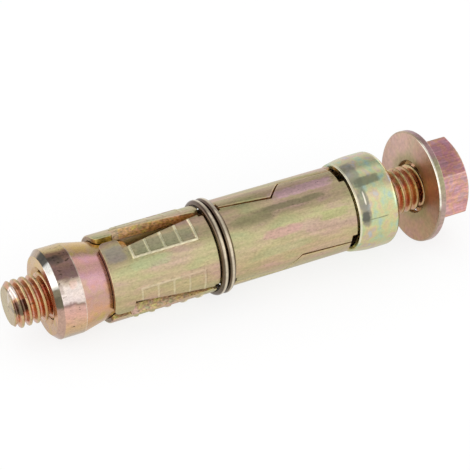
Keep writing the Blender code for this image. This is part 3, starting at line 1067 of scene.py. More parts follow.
@dataclass
class SpringHoop:
    """The spring hoop: round wire in two close turns, with a short crossing between them."""

    sizes: AnchorSizes
    wire_gap: float = 0.05
    shift: float = 0.1
    start_angle: float = 205.0
    end_gap: float = 3.0
    cross_angle: float = 30.0
    points: int = 256
    sides: int = 24

    def tree(self) -> bpy.types.NodeTree:
        """Bend a straight line of points into the hoop and give it the wire's thickness.

        Returns:
            The tree.
        """
        sizes = ("Hoop radius", "Wire radius", "First place", "Wire pitch")
        sizes += ("Start angle", "First angle", "Last angle", "Cross angle")
        growth = GrowthTree("wound_hoop", sizes, ("Points", "Sides"))
        add = growth.sheet.add
        value = growth.value
        maths = "ShaderNodeMath"
        line = add(
            "GeometryNodeMeshLine",
            {"Count": value("Points"), "Start Location": (0.0, 0.0, 0.0), "Offset": (1.0, 0.0, 0.0)},
            mode="END_POINTS",
        )
        along = add("ShaderNodeSeparateXYZ", (add("GeometryNodeInputPosition"),))
        wound = add("ShaderNodeMapRange", (along, 0.0, 1.0, value("First angle"), value("Last angle")))
        full_turn = 2 * math.pi
        cross_from = add(maths, (full_turn, value("Cross angle")), operation="SUBTRACT")
        rise = add(
            "ShaderNodeMapRange",
            (wound, cross_from, full_turn, 0.0, value("Wire pitch")),
            interpolation_type="SMOOTHSTEP",
        )
        place = add(maths, (value("First place"), rise), operation="ADD")
        angle = add(maths, (wound, value("Start angle")), operation="ADD")
        inward = add(maths, (value("Hoop radius"), -1.0), operation="MULTIPLY")
        sine = add(maths, (angle,), operation="SINE")
        cosine = add(maths, (angle,), operation="COSINE")
        across = add(maths, (sine, inward), operation="MULTIPLY")
        depth = add(maths, (cosine, inward), operation="MULTIPLY")
        bent = add("ShaderNodeCombineXYZ", (across, depth, place))
        path = add("GeometryNodeSetPosition", {"Geometry": line, "Position": bent})
        curve = add("GeometryNodeMeshToCurve", (path,))
        round_wire = {"Resolution": value("Sides"), "Radius": value("Wire radius")}
        section = add("GeometryNodeCurvePrimitiveCircle", round_wire)
        wire = add("GeometryNodeCurveToMesh", {"Curve": curve, "Profile Curve": section, "Fill Caps": True})
        return growth.end(wire)

    def mesh(self, finish: Finish) -> bpy.types.Mesh:
        """Wind the hoop.

        Args:
            finish: The wire's material.

        Returns:
            The mesh, in millimetres.
        """
        s = self.sizes
        pitch = 2 * s.wire_r + self.wire_gap
        values = {
            "Finish": finish,
            "Hoop radius": s.groove_r + s.hoop_room + s.wire_r,
            "Wire radius": s.wire_r,
            "First place": s.groove_s - pitch / 2 + self.shift,
            "Wire pitch": pitch,
            "Start angle": math.radians(self.start_angle),
            "First angle": math.radians(self.end_gap),
            "Last angle": math.radians(2 * 360.0 - self.cross_angle - self.end_gap),
            "Cross angle": math.radians(self.cross_angle),
            "Points": self.points,
            "Sides": self.sides,
        }
        return grown(bpy.data.meshes.new("spring_hoop"), self.tree(), values)


@dataclass
class ShieldSegment:
    """One pressed segment of the shield: rolled edges, rough sheared sides and two raised combs."""

    sizes: AnchorSizes
    nut: ExpanderNut
    body: Body
    turn: float
    segments: int = 3
    foot_length: float = 2.55
    foot_corner: float = 0.8
    foot_step_run: float = 0.1
    foot_gap: float = 6.0
    slot_gap: float = 22.5
    slot_end_gap: float = 4.0
    relief_gap: float = 3.6
    relief_run: float = 0.38
    seam_gap: float = 1.5
    seam_angles: tuple[float, float, float, float] = (57.9, 48.5, 75.0, 70.0)
    seam_step_place: float = 9.9
    seam_step_run: float = 2.2
    notch_depth: float = 0.65
    tongue_length: float = 3.8
    tongue_angle: float = 40.0
    tongue_turn: float = 2.0
    hook_length: float = 1.3
    step_run: float = 0.02
    wall_run: float = 0.08
    lip: float = 0.05
    roll_r: float = 0.16
    comb_angle: float = 20.5
    comb_end_run: float = 1.525
    comb_pitch: float = 2.08
    comb_teeth: int = 5
    rib_width: float = 0.34
    rib_height: float = 0.17
    rib_edge: float = 0.07
    rib_margin: float = 3.5
    lower_rib_share: float = 0.54
    groove_trim: float = 0.22
    columns: int = 104
    row_run: float = 0.45
    least_row_run: float = 0.012
    comb_row_run: float = 0.08
    comb_row_margin: float = 0.4
    edge_offsets: tuple[float, ...] = (0.0, 0.02, 0.05, 0.09, 0.14, 0.2)

    @property
    def foot_s(self) -> float:
        """Place where the foot ends and the tapering slot starts."""
        return self.sizes.tip_end_s + self.foot_length

    @property
    def slot_end_s(self) -> float:
        """Place where the slot ends, just before the hoop's groove."""
        return self.sizes.groove_s - self.sizes.groove_width / 2 - self.relief_run

    @property
    def notch_s(self) -> float:
        """Place where the segment narrows to its tongue."""
        return self.sizes.shoulder_s - self.notch_depth

    @property
    def tongue_end_s(self) -> float:
        """Place of the tongue's end."""
        return self.sizes.shoulder_s + self.tongue_length

    @property
    def hook_s(self) -> float:
        """Place where the tongue's hook starts."""
        return self.tongue_end_s - self.hook_length

    @property
    def groove_walls(self) -> Point2:
        """Where the two walls of the hoop's groove meet its floor.

        Returns:
            The wall's place towards the tip, and the one towards the head.
        """
        s = self.sizes
        half = s.groove_width / 2
        return s.groove_s - half + self.groove_trim, s.groove_s + half

    def edge(self, side: Side) -> list[Point2]:
        """The edge of the flat blank on one side, as places and angles from tip to tongue.

        Args:
            side: Which of the two edges.

        Returns:
            The points, with each place a little past the last.
        """
        half = 180.0 / self.segments
        foot = half - self.foot_gap
        wide = half - self.slot_end_gap
        narrow = half - self.slot_gap
        relief_s = self.groove_walls[1] + self.relief_run
        step_s = self.sizes.shoulder_s - self.seam_step_place
        places = (relief_s + self.step_run, step_s, step_s + self.seam_step_run, self.notch_s)
        angles = self.seam_angles
        if side is Side.LOWER:
            angles = tuple(2 * half - u for u in angles)
        seam = [(s, u - self.seam_gap) for s, u in zip(places, angles)]
        tongue = self.tongue_angle + side.value * self.tongue_turn
        points = [
            *self.foot_edge(foot),
            (self.foot_s + self.foot_step_run, narrow),
            (self.slot_end_s, wide),
            (self.slot_end_s + self.step_run, wide - self.relief_gap),
            (relief_s, wide - self.relief_gap),
            *seam,
            (self.notch_s + self.step_run, tongue),
            (self.tongue_end_s, tongue),
        ]
        return [(s, side.value * u) for s, u in points]

    def foot_edge(self, foot: float) -> list[Point2]:
        """The foot's edge, with both of its corners rounded.

        Args:
            foot: The foot's half angle.

        Returns:
            Places and angles from the tip's end.
        """
        r = self.foot_corner
        degrees = math.degrees(1 / self.sizes.shield_r)
        arcs = [math.radians(a) for a in range(0, 91, 15)]
        tip_s = self.sizes.tip_end_s
        first = [(tip_s + r * (1 - math.cos(a)), foot - r * (1 - math.sin(a)) * degrees) for a in arcs]
        r /= 2
        last = [(self.foot_s - r * (1 - math.sin(a)), foot - r * (1 - math.cos(a)) * degrees) for a in arcs]
        return first + last

    def outer_r(self, place: np.ndarray) -> np.ndarray:
        """The outer radius along the segment, with the groove, the neck and the hook.

        Args:
            place: Places along the bolt.

        Returns:
            The radius at each place.
        """
        s = self.sizes
        low, high = self.groove_walls
        points = [
            (low - self.wall_run - self.lip, s.shield_r),
            (low - self.wall_run, s.shield_r - self.lip / 2),
            (low, s.groove_r),
            (high, s.groove_r),
            (high + self.wall_run, s.shield_r - self.lip / 2),
            (high + self.wall_run + self.lip, s.shield_r),
            (s.shoulder_s - self.lip, s.shield_r),
            (s.shoulder_s, s.shield_r - self.lip),
            (s.shoulder_s + self.wall_run, s.neck_r),
            (self.hook_s - self.wall_run, s.neck_r),
            (self.hook_s, s.hook_r),
        ]
        return np.interp(place, [p for p, _ in points], [r for _, r in points])

    def inner_r(self, place: np.ndarray) -> np.ndarray:
        """The inner radius, opened at the tip end to sit along the nut's cone."""
        return np.maximum(self.sizes.shield_bore_r, self.nut.cone_r(place) + self.sizes.cone_gap)

    def rows(self) -> np.ndarray:
        """Places of the rows of points, close together at every step and along the combs.

        Returns:
            The places, from the tip end to the tongue's end.
        """
        s = self.sizes
        low, high = self.groove_walls
        corners = [p for side in Side for p, _ in self.edge(side)]
        steps = [
            s.tip_end_s,
            self.foot_s + self.foot_step_run,
            self.slot_end_s,
            self.slot_end_s + self.step_run,
            low - self.wall_run,
            high + self.wall_run,
            high + self.relief_run,
            self.notch_s,
            self.notch_s + self.step_run,
            s.shoulder_s,
            self.hook_s,
            self.tongue_end_s,
        ]
        near = [step + sign * offset for step in steps for offset in self.edge_offsets for sign in (1, -1)]
        bends = [
            low,
            high,
            low - self.wall_run - self.lip,
            high + self.wall_run + self.lip,
            s.shoulder_s + self.wall_run,
            self.hook_s - self.wall_run,
        ]
        comb_from = self.comb_s(0) - self.comb_row_margin
        comb_to = self.comb_s(self.comb_teeth - 1) + self.comb_row_margin
        comb = np.arange(comb_from, comb_to, self.comb_row_run)
        plain = np.arange(s.tip_end_s, self.tongue_end_s, self.row_run)
        places = np.unique(np.round(np.concatenate([corners, near, bends, comb, plain]), 4))
        places = places[(places >= s.tip_end_s) & (places <= self.tongue_end_s)]
        kept = [places[0]]
        needed = set(np.round(corners + steps + bends, 4))
        for place in places[1:]:
            if place - kept[-1] >= self.least_row_run or place in needed:
                kept.append(place)
        return np.array(kept)

    def comb_s(self, tooth: int) -> float:
        """Place of one tooth of the combs, counted from the tip."""
        return self.slot_end_s - self.comb_end_run - self.comb_pitch * (self.comb_teeth - 1 - tooth)

    def from_edge(self, places: np.ndarray, angles: np.ndarray) -> np.ndarray:
        """How far each point is from the blank's outline, in millimetres on the outer surface.

        Args:
            places: Places of the points.
            angles: Their angles.

        Returns:
            The distances.
        """
        r = math.radians(self.sizes.shield_r)
        outline = self.edge(Side.UPPER) + self.edge(Side.LOWER)[::-1]
        ends = np.array([(s, u * r) for s, u in outline])
        points = np.stack([places, angles * r], axis=-1)
        nearest = np.full(places.shape, 1e9)
        for a, b in zip(ends, np.roll(ends, -1, axis=0)):
            side = b - a
            length = max(float(side @ side), 1e-12)
            share = np.clip(((points - a) @ side) / length, 0.0, 1.0)
            gap = points - a - share[..., None] * side
            nearest = np.minimum(nearest, np.linalg.norm(gap, axis=-1))
        return nearest

    def grid(self) -> tuple[np.ndarray, np.ndarray]:
        """Places and angles of the points, one row for each place.

        Returns:
            Two arrays of rows and columns.
        """
        rows = self.rows()
        upper = np.array(self.edge(Side.UPPER))
        lower = np.array(self.edge(Side.LOWER))
        high = np.interp(rows, upper[:, 0], upper[:, 1])
        low = np.interp(rows, lower[:, 0], lower[:, 1])
        offsets = np.array(self.edge_offsets) / math.radians(self.sizes.shield_r)
        middle = np.linspace(0.0, 1.0, self.columns - 2 * len(offsets) + 2)[1:-1]
        angles = []
        for bottom, top in zip(low, high):
            start = bottom + offsets
            end = top - offsets[::-1]
            angles.append(np.concatenate([start, start[-1] + (end[0] - start[-1]) * middle, end]))
        angle_grid = np.array(angles)
        return np.repeat(rows[:, None], angle_grid.shape[1], axis=1), angle_grid

    def blank(self, finish: Finish, sheared: Finish) -> bpy.types.Mesh:
        """Roll the blank into the segment, without its combs.

        Args:
            finish: Material of the inner and outer surfaces.
            sheared: Material of the cut sides.

        Returns:
            The mesh, in millimetres, with each point's place and angle kept for the combs.
        """
        places, angles = self.grid()
        near = np.clip(1.0 - self.from_edge(places, angles) / self.roll_r, 0.0, 1.0)
        outer = self.outer_r(places) - self.roll_r * (1.0 - np.sqrt(1.0 - near**2))
        inner = self.inner_r(places)
        turns = np.radians(angles + self.turn)
        points = [
            np.stack([-r * np.sin(turns), -r * np.cos(turns), places], axis=-1).reshape(-1, 3)
            for r in (outer, inner)
        ]
        rows, columns = places.shape
        index = np.arange(rows * columns).reshape(rows, columns)
        skin = [index[:-1, :-1], index[:-1, 1:], index[1:, 1:], index[1:, :-1]]
        skin_faces = np.stack(skin, axis=-1).reshape(-1, 4)
        round_edge = np.concatenate([index[0, :], index[1:, -1], index[-1, -2::-1], index[-2:0:-1, 0]])
        after = np.roll(round_edge, -1)
        under = rows * columns
        side_faces = np.stack([round_edge, round_edge + under, after + under, after], axis=-1)
        faces = np.concatenate([skin_faces, skin_faces[:, ::-1] + under, side_faces])
        mesh = bpy.data.meshes.new(self.body.value)
        mesh.from_pydata(np.concatenate(points).tolist(), [], faces.tolist())
        mesh.materials.append(finish)
        mesh.materials.append(sheared)
        is_side = np.arange(len(faces)) >= 2 * len(skin_faces)
        mesh.polygons.foreach_set("material_index", is_side.astype(np.int32))
        for label, values in (("place", places), ("across", angles), ("skin", np.ones(places.shape))):
            layer = mesh.attributes.new(label, "FLOAT", "POINT")
            hidden = np.zeros(under) if label == "skin" else values.ravel()
            layer.data.foreach_set("value", np.concatenate([values.ravel(), hidden]).astype(np.float32))
        return mesh

    def comb_tree(self) -> bpy.types.NodeTree:
        """Raise the ribs of both combs out of the outer surface.

        Each comb is a spine along the bolt with teeth towards the nearer slot. A point's height follows
        from its gap to the nearest rib, and the attributes of the blank say where the point is.

        Returns:
            The tree.
        """
        sizes = ("First tooth", "Pitch", "Spine", "Rib width", "Rib height", "Rib edge")
        sizes += ("Shield radius", "Reach", "Reach slope", "Lower share")
        growth = GrowthTree("pressed_combs", sizes, ("Teeth",))
        add = growth.sheet.add
        value = growth.value
        maths = "ShaderNodeMath"
        labels = ("place", "across", "skin")
        place, across, skin = (
            add("GeometryNodeInputNamedAttribute", {"Name": label}, data_type="FLOAT") for label in labels
        )
        side = add(maths, (across,), operation="ABSOLUTE")
        per_degree = add(maths, (value("Shield radius"), math.pi / 180), operation="MULTIPLY")
        from_first = add(maths, (place, value("First tooth")), operation="SUBTRACT")
        counted = add(maths, (from_first, value("Pitch")), operation="DIVIDE")
        nearest = add(maths, (counted,), operation="ROUND")
        nearest = add(maths, (nearest, 0.0), operation="MAXIMUM")
        last = add(maths, (value("Teeth"), 1.0), operation="SUBTRACT")
        nearest = add(maths, (nearest, last), operation="MINIMUM")
        astray = add(maths, (counted, nearest), operation="SUBTRACT")
        astray = add(maths, (astray,), operation="ABSOLUTE")
        from_tooth = add(maths, (astray, value("Pitch")), operation="MULTIPLY")
        past_spine = add(maths, (value("Spine"), side), operation="SUBTRACT")
        past_spine = add(maths, (past_spine, per_degree), operation="MULTIPLY")
        reach = add(maths, (from_first, value("Reach slope"), value("Reach")), operation="MULTIPLY_ADD")
        past_reach = add(maths, (side, reach), operation="SUBTRACT")
        past_reach = add(maths, (past_reach, per_degree), operation="MULTIPLY")
        outside = add(maths, (past_spine, past_reach), operation="MAXIMUM")
        outside = add(maths, (outside, 0.0), operation="MAXIMUM")
        tooth_gap = add(maths, (from_tooth, outside), operation="MAXIMUM")
        from_spine = add(maths, (past_spine,), operation="ABSOLUTE")
        beyond = add(maths, (0.0, from_first), operation="SUBTRACT")
        run = add(maths, (last, value("Pitch")), operation="MULTIPLY")
        beyond_last = add(maths, (from_first, run), operation="SUBTRACT")
        beyond = add(maths, (beyond, beyond_last), operation="MAXIMUM")
        beyond = add(maths, (beyond, 0.0), operation="MAXIMUM")
        spine_gap = add(maths, (from_spine, beyond), operation="MAXIMUM")
        gap = add(maths, (tooth_gap, spine_gap), operation="MINIMUM")
        half = add(maths, (value("Rib width"), 0.5), operation="MULTIPLY")
        skirt = add(maths, (half, value("Rib edge")), operation="ADD")
        core = add(maths, (half, value("Rib edge")), operation="SUBTRACT")
        height = add(
            "ShaderNodeMapRange",
            (gap, core, skirt, value("Rib height"), 0.0),
            interpolation_type="SMOOTHSTEP",
        )
        height = add(maths, (height, skin), operation="MULTIPLY")
        upper = add("ShaderNodeMapRange", (across, -1.0, 1.0, value("Lower share"), 1.0))
        height = add(maths, (height, upper), operation="MULTIPLY")
        position = add("GeometryNodeInputPosition")
        flat = add("ShaderNodeVectorMath", (position, (1.0, 1.0, 0.0)), operation="MULTIPLY")
        outward = add("ShaderNodeVectorMath", (flat,), operation="NORMALIZE")
        offset = add("ShaderNodeVectorMath", {0: outward, 3: height}, operation="SCALE")
        raised = add("GeometryNodeSetPosition", {"Geometry": value("Geometry"), "Offset": offset})
        return growth.end(raised, dressed=False)

    def mesh(self, finish: Finish, sheared: Finish) -> bpy.types.Mesh:
        """Build the segment with its combs.

        Args:
            finish: Material of the inner and outer surfaces.
            sheared: Material of the cut sides.

        Returns:
            The mesh, in millimetres.
        """
        half = 180.0 / self.segments
        wide = half - self.slot_end_gap
        narrow = half - self.slot_gap
        slope = (wide - narrow) / (self.slot_end_s - self.foot_s - self.foot_step_run)
        values = {
            "First tooth": self.comb_s(0),
            "Pitch": self.comb_pitch,
            "Teeth": self.comb_teeth,
            "Spine": self.comb_angle,
            "Rib width": self.rib_width,
            "Rib height": self.rib_height,
            "Rib edge": self.rib_edge,
            "Shield radius": self.sizes.shield_r,
            "Reach": narrow + slope * (self.comb_s(0) - self.foot_s) - self.rib_margin,
            "Reach slope": slope,
            "Lower share": self.lower_rib_share,
        }
        raised = grown(self.blank(finish, sheared), self.comb_tree(), values)
        for label in ("place", "across", "skin"):
            raised.attributes.remove(raised.attributes[label])
        return raised


@dataclass(frozen=True)
class Studio:
    """The pale floor, the soft light and the camera at the photograph's viewing angle."""

    azimuth: float = -26.68
    elevation: float = 31.90
    distance_mm: float = 230.0
    rise_mm: float = 0.463
    focal_px: float = 1854.0
    picture_px: float = 470.0
    sensor_mm: float = 36.0
    clip_start_m: float = 0.01
    floor_m: float = 4.0
    floor_colour: str = "#f2f2f2"
    floor_seen: float = 0.78
    floor_mirrored: float = 0.7
    mirror_level: float = 0.8
    key_watts: float = 5.0
    key_size_m: Point2 = (1.44, 0.45)
    key_place_m: tuple[float, float, float] = (-0.25, -0.75, 0.38)
    side_panel: float = 1.7
    side_range: Point2 = (0.6, 0.85)
    side_height: Point2 = (0.3, 0.5)
    sky: Stops = (
        (0.0, "#f8f8f8"),
        (0.25, "#ffffff"),
        (0.34, "#d4d4d4"),
        (0.48, "#cacaca"),
        (0.59, "#f0f0f0"),
        (0.69, "#a0a0a0"),
        (0.8, "#c4c4c4"),
        (0.91, "#e4e4e4"),
        (1.0, "#f8f8f8"),
    )

    def build(self, axis: BoltAxis) -> None:
        """Build floor, lights, world and camera round the anchor.

        Args:
            axis: The bolt's axis, whose middle the camera looks at.
        """
        bpy.context.scene.view_settings.view_transform = "Standard"
        self.build_floor()
        self.build_world()
        self.build_key(axis)
        self.build_camera(axis)

    def build_floor(self) -> None:
        """A plain white floor, shown near white to the camera and the metal, that keeps the shadow."""
        half = self.floor_m / 2
        mesh = bpy.data.meshes.new("studio_floor")
        corners = [(-half, -half, 0), (half, -half, 0), (half, half, 0), (-half, half, 0)]
        mesh.from_pydata(corners, [], [(0, 1, 2, 3)])
        floor = bpy.data.objects.new("studio_floor", mesh)
        bpy.context.scene.collection.objects.link(floor)
        material = bpy.data.materials.new("white_paper")
        material.use_nodes = True
        sheet = NodeSheet(material.node_tree)
        paper = sheet.add("ShaderNodeBsdfDiffuse", {"Color": linear(self.floor_colour)})
        white = sheet.add("ShaderNodeEmission", {"Strength": 1.0})
        grey = sheet.add("ShaderNodeEmission", {"Strength": self.mirror_level})
        camera = sheet.add("ShaderNodeLightPath", output="Is Camera Ray")
        glossy = sheet.add("ShaderNodeLightPath", output="Is Glossy Ray")
        camera_share = sheet.add("ShaderNodeMath", (camera, self.floor_seen), operation="MULTIPLY")
        glossy_share = sheet.add("ShaderNodeMath", (glossy, self.floor_mirrored), operation="MULTIPLY")
        seen = sheet.add("ShaderNodeMixShader", (camera_share, paper, white))
        mirrored = sheet.add("ShaderNodeMixShader", (glossy_share, seen, grey))
        sheet.add("ShaderNodeOutputMaterial", (mirrored,))
        mesh.materials.append(material)

    def build_world(self) -> None:
        """A soft room: bright at the front, darker overhead and behind, and white to the camera."""
        world = bpy.data.worlds.new("soft_room")
        bpy.context.scene.world = world
        world.use_nodes = True
        sheet = NodeSheet(world.node_tree)
        direction = sheet.add("ShaderNodeTexCoord", output="Generated")
        parts = sheet.add("ShaderNodeSeparateXYZ", (direction,)).node.outputs
        front = sheet.add("ShaderNodeMath", (parts[1], -1.0), operation="MULTIPLY")
        over = sheet.add("ShaderNodeMath", (parts[2], front), operation="ARCTAN2")
        share = sheet.add("ShaderNodeMath", (over, math.pi), operation="DIVIDE")
        sky = sheet.add("ShaderNodeValToRGB", (share,), stops=self.sky)
        aside = sheet.add("ShaderNodeMath", (parts[0],), operation="ABSOLUTE")
        aside = sheet.add("ShaderNodeMapRange", (aside, *self.side_range, 0.0, 1.0))
        low = sheet.add("ShaderNodeMapRange", (parts[2], *self.side_height, 1.0, 0.0))
        panel = sheet.add("ShaderNodeMath", (aside, low), operation="MULTIPLY")
        bright = (self.side_panel, self.side_panel, self.side_panel, 1.0)
        room = sheet.add("ShaderNodeMix", {0: panel, 6: sky, 7: bright}, output=2, data_type="RGBA")
        white = (1.0, 1.0, 1.0, 1.0)
        mirrored = sheet.add("ShaderNodeLightPath", output="Is Glossy Ray")
        seen = sheet.add("ShaderNodeMix", {0: mirrored, 6: white, 7: room}, output=2, data_type="RGBA")
        background = sheet.add("ShaderNodeBackground", (seen, 1.0))
        sheet.add("ShaderNodeOutputWorld", (background,))

    def build_key(self, axis: BoltAxis) -> None:
        """One large soft light from the front left, above the camera.

        Args:
            axis: The bolt's axis, whose middle the light points at.
        """
        light = bpy.data.lights.new("key_light", "AREA")
        light.shape = "RECTANGLE"
        light.size, light.size_y = self.key_size_m
        light.energy = self.key_watts
        key = bpy.data.objects.new("key_light", light)
        bpy.context.scene.collection.objects.link(key)
        key.location = axis.middle + Vector(self.key_place_m)
        aim = axis.middle - key.location
        key.rotation_euler = aim.to_track_quat("-Z", "Y").to_euler()
        key.visible_glossy = False

    def build_camera(self, axis: BoltAxis) -> None:
        """The camera, level, at the photograph's azimuth and elevation.

        Args:
            axis: The bolt's axis, whose middle stands a little below the middle of the picture.
        """
        camera = bpy.data.cameras.new("camera")
        camera.sensor_width = self.sensor_mm
        camera.lens = self.focal_px / self.picture_px * self.sensor_mm
        camera.clip_start = self.clip_start_m
        eye = bpy.data.objects.new("camera", camera)
        bpy.context.scene.collection.objects.link(eye)
        bpy.context.scene.camera = eye
        turn = math.radians(self.azimuth)
        tip = math.radians(self.elevation)
        right = Vector((math.cos(turn), math.sin(turn), 0.0))
        ahead = Vector((-math.sin(turn) * math.cos(tip), math.cos(turn) * math.cos(tip), -math.sin(tip)))
        up = right.cross(ahead)
        place = axis.middle + (up * self.rise_mm - ahead * self.distance_mm) * MM
        facing = Matrix((right, up, -ahead)).transposed().to_4x4()
        eye.matrix_world = Matrix.Translation(place) @ facing


# Rolled thread: copper-red flanks under a thin film, rubbed to olive cream on the crests, with a painted
# highlight at the tip.
BOLT_ZINC = PlatedZinc(
    name="rolled_thread_zinc_yellow",
    bands=(
        (0.0, "#c8ac94"),
        (0.42, "#d4ac8c"),
        (0.5, "#dca484"),
        (0.58, "#cca084"),
        (0.66, "#cca48c"),
        (0.8, "#ccb494"),
        (1.0, "#c8ac94"),
    ),
    tints=((0.32, "#d8bc84"), (0.45, "#e4a078"), (0.55, "#d89888"), (0.68, "#c4b890")),
    tint_share=0.55,
    patch_around_mm=1.6,
    patch_along_mm=1.6,
    speck_share=0.5,
    crest=CrestWearAndHighlight(2.8, 2.94, "#d0c48c", 0.6),
    stains_and_highlights=(
        StainAndHighlight(-30.1, 0.0, 0.16, ALL_ROUND, "#bcb484", 0.65),
        # A painted highlight on the tip's chamfer and first crest, and a dark patch beside it.
        StainAndHighlight(-29.6, 66.0, 0.5, 20.0, "#fff0e8", 0.9),
        StainAndHighlight(-29.3, 22.0, 0.8, 20.0, "#4c403c", 0.75),
    ),
    roughness=(0.14, 0.28),
)

# Forged head: purple-red and pink flats with yellow clouds, fine marks along the bolt, and a painted
# highlight along one corner.
HEAD_ZINC = PlatedZinc(
    name="forged_head_zinc_yellow",
    bands=(
        (0.0, "#c8a49c"),
        (0.42, "#cca898"),
        (0.44, "#e4b0ac"),
        (0.588, "#dcacb0"),
        # A painted highlight along the corner at 34.5 degrees.
        (0.594, "#f0d4c4"),
        (0.598, "#b88490"),
        (0.75, "#bc8894"),
        (0.77, "#c8a494"),
        (1.0, "#c8a49c"),
    ),
    tints=((0.34, "#dcb0c0"), (0.45, "#e49c9c"), (0.53, "#f0bc78"), (0.58, "#dca8b0"), (0.68, "#c8b4a8")),
    tint_share=0.46,
    patch_around_mm=1.5,
    patch_along_mm=1.5,
    streak_mm=0.26,
    streak_along_mm=2.5,
    streak_share=0.2,
    speck_share=0.1,
    sway=0.003,
    stains_and_highlights=(
        StainAndHighlight(29.0, 64.0, 1.5, 24.0, "#a06478", 0.35),
        StainAndHighlight(31.1, 0.0, 0.22, ALL_ROUND, "#ccc8a4", 0.55),
    ),
    roughness=(0.26, 0.4),
)

# Turned collar, glossy: dark mauve above, then a blotched white band of painted highlight, a painted
# highlight along its edge to the cone, and pink straw below.
COLLAR_ZINC = PlatedZinc(
    name="turned_collar_zinc_yellow",
    bands=(
        (0.0, "#bda489"),
        (0.39, "#c4b08c"),
        (0.44, "#e4c08c"),
        (0.5, "#f0bca8"),
        (0.528, "#e8bcac"),
        (0.538, "#94786c"),
        # The white band of painted highlight.
        (0.548, "#fff0e8"),
        (0.6, "#fff4e8"),
        (0.622, "#d8c8b0"),
        (0.634, "#8c7068"),
        (0.72, "#846858"),
        (0.745, "#987458"),
        (0.765, "#dcc488"),
        (1.0, "#bda489"),
    ),
    tints=((0.3, "#d2b088"), (0.45, "#d8a498"), (0.58, "#cfa0ae"), (0.7, "#b8b496")),
    tint_share=0.16,
    patch_around_mm=1.2,
    patch_along_mm=1.2,
    grain_share=0.16,
    speck_share=0.7,
    streak_share=0.05,
    sway=0.018,
    stains_and_highlights=(
        StainAndHighlight(-24.9, 36.0, 0.4, 6.0, "#a08878", 0.45),
        StainAndHighlight(-23.2, 38.0, 0.5, 5.0, "#f0c4b4", 0.5),
        StainAndHighlight(-24.2, 76.0, 1.0, 8.0, "#54504c", 0.6),
        # A painted highlight along the edge to the cone.
        StainAndHighlight(-22.25, 30.0, 0.07, 75.0, "#f0dcc8", 0.6),
    ),
    roughness=(0.12, 0.24),
    bump_mm=0.006,
)

# Turned cone, smooth: rose above, orange in the middle, golden below.
CONE_ZINC = PlatedZinc(
    name="turned_cone_zinc_yellow",
    bands=(
        (0.0, "#c8b080"),
        (0.4, "#d4b46c"),
        (0.44, "#c8a850"),
        (0.475, "#ecb878"),
        (0.52, "#d8b088"),
        (0.56, "#c4a088"),
        (0.59, "#c89c94"),
        (0.63, "#e8b8bc"),
        (0.69, "#f0b8b8"),
        (0.715, "#dcc074"),
        (0.76, "#e0c868"),
        (1.0, "#c8b080"),
    ),
    tints=((0.3, "#dcb868"), (0.45, "#e8a898"), (0.56, "#dca8bc"), (0.7, "#d4bc8c")),
    tint_share=0.36,
    patch_around_mm=1.8,
    patch_along_mm=1.8,
    grain_share=0.06,
    streak_share=0.04,
    speck_share=0.1,
    sway=0.025,
    roughness=(0.2, 0.3),
    bump_mm=0.006,
)

# Turned chamfer, mirror bright: a white band of painted highlight, with dark bands above and below it.
CHAMFER_ZINC = PlatedZinc(
    name="turned_chamfer_zinc_yellow",
    bands=(
        (0.0, "#c0a48c"),
        (0.5, "#cca896"),
        (0.528, "#c4a092"),
        (0.54, "#6c6652"),
        (0.605, "#5a5644"),
        # The white band of painted highlight.
        (0.625, "#fbf8f0"),
        (0.7, "#fffdf8"),
        (0.715, "#50504c"),
        (0.77, "#4c4c44"),
        (0.79, "#bca690"),
        (1.0, "#c0a48c"),
    ),
    tints=((0.35, "#c8b090"), (0.65, "#b8a0a0")),
    tint_share=0.08,
    speck_share=0.2,
    sway=0.008,
    roughness=(0.1, 0.2),
    bump_mm=0.004,
)

# Pressed sheet, satin: khaki green and straw, with rose clouds, and rubbed cream with a painted highlight on
# what stands proud.
SHIELD_ZINC = PlatedZinc(
    name="pressed_shield_zinc_yellow",
    bands=(
        (0.0, "#b8a884"),
        (0.4, "#c4b490"),
        (0.45, "#ccb08c"),
        (0.49, "#d4b890"),
        (0.55, "#cabf94"),
        (0.6, "#c8c096"),
        (0.63, "#b8ae84"),
        (0.66, "#b4a484"),
        (0.7, "#bcac88"),
        (0.74, "#ac9c74"),
        (0.775, "#d0c09c"),
        (0.88, "#b8ac84"),
        (1.0, "#b8a884"),
    ),
    tints=((0.3, "#b4c08c"), (0.43, "#ccc490"), (0.55, "#d8bc9c"), (0.66, "#dcb0ac")),
    tint_share=0.5,
    patch_around_mm=1.7,
    patch_along_mm=5.0,
    speck_share=0.15,
    # Rubbed cream on the ribs, with a painted highlight.
    crest=CrestWearAndHighlight(5.56, 5.65, "#fff4d0", 0.9),
    stains_and_highlights=(
        StainAndHighlight(8.6, 78.0, 4.4, 8.0, "#dcb4bc", 0.85),
        StainAndHighlight(6.5, 60.0, 4.5, 4.5, "#8c8866", 0.7),
        StainAndHighlight(4.2, 27.0, 2.6, 6.5, "#d4a8a0", 0.7),
        StainAndHighlight(9.5, 20.0, 2.4, 5.0, "#d0aca0", 0.5),
        StainAndHighlight(11.5, 31.0, 2.0, 6.0, "#bcc084", 0.6),
        StainAndHighlight(1.0, 52.0, 2.8, 8.0, "#9c9870", 0.6),
        StainAndHighlight(-10.8, 59.5, 4.6, 9.5, "#a4a484", 0.7),
        StainAndHighlight(-13.2, 38.0, 2.6, 7.0, "#c4cc9c", 0.6),
        StainAndHighlight(-7.5, 8.0, 2.6, 5.5, "#d4b09c", 0.55),
        StainAndHighlight(-17.2, 60.0, 1.3, 12.0, "#a8a09c", 0.65),
        StainAndHighlight(4.5, 5.0, 3.0, 6.0, "#c8c898", 0.5),
        StainAndHighlight(10.5, -12.0, 2.5, 6.0, "#d8b8a0", 0.5),
    ),
    roughness=(0.26, 0.4),
)
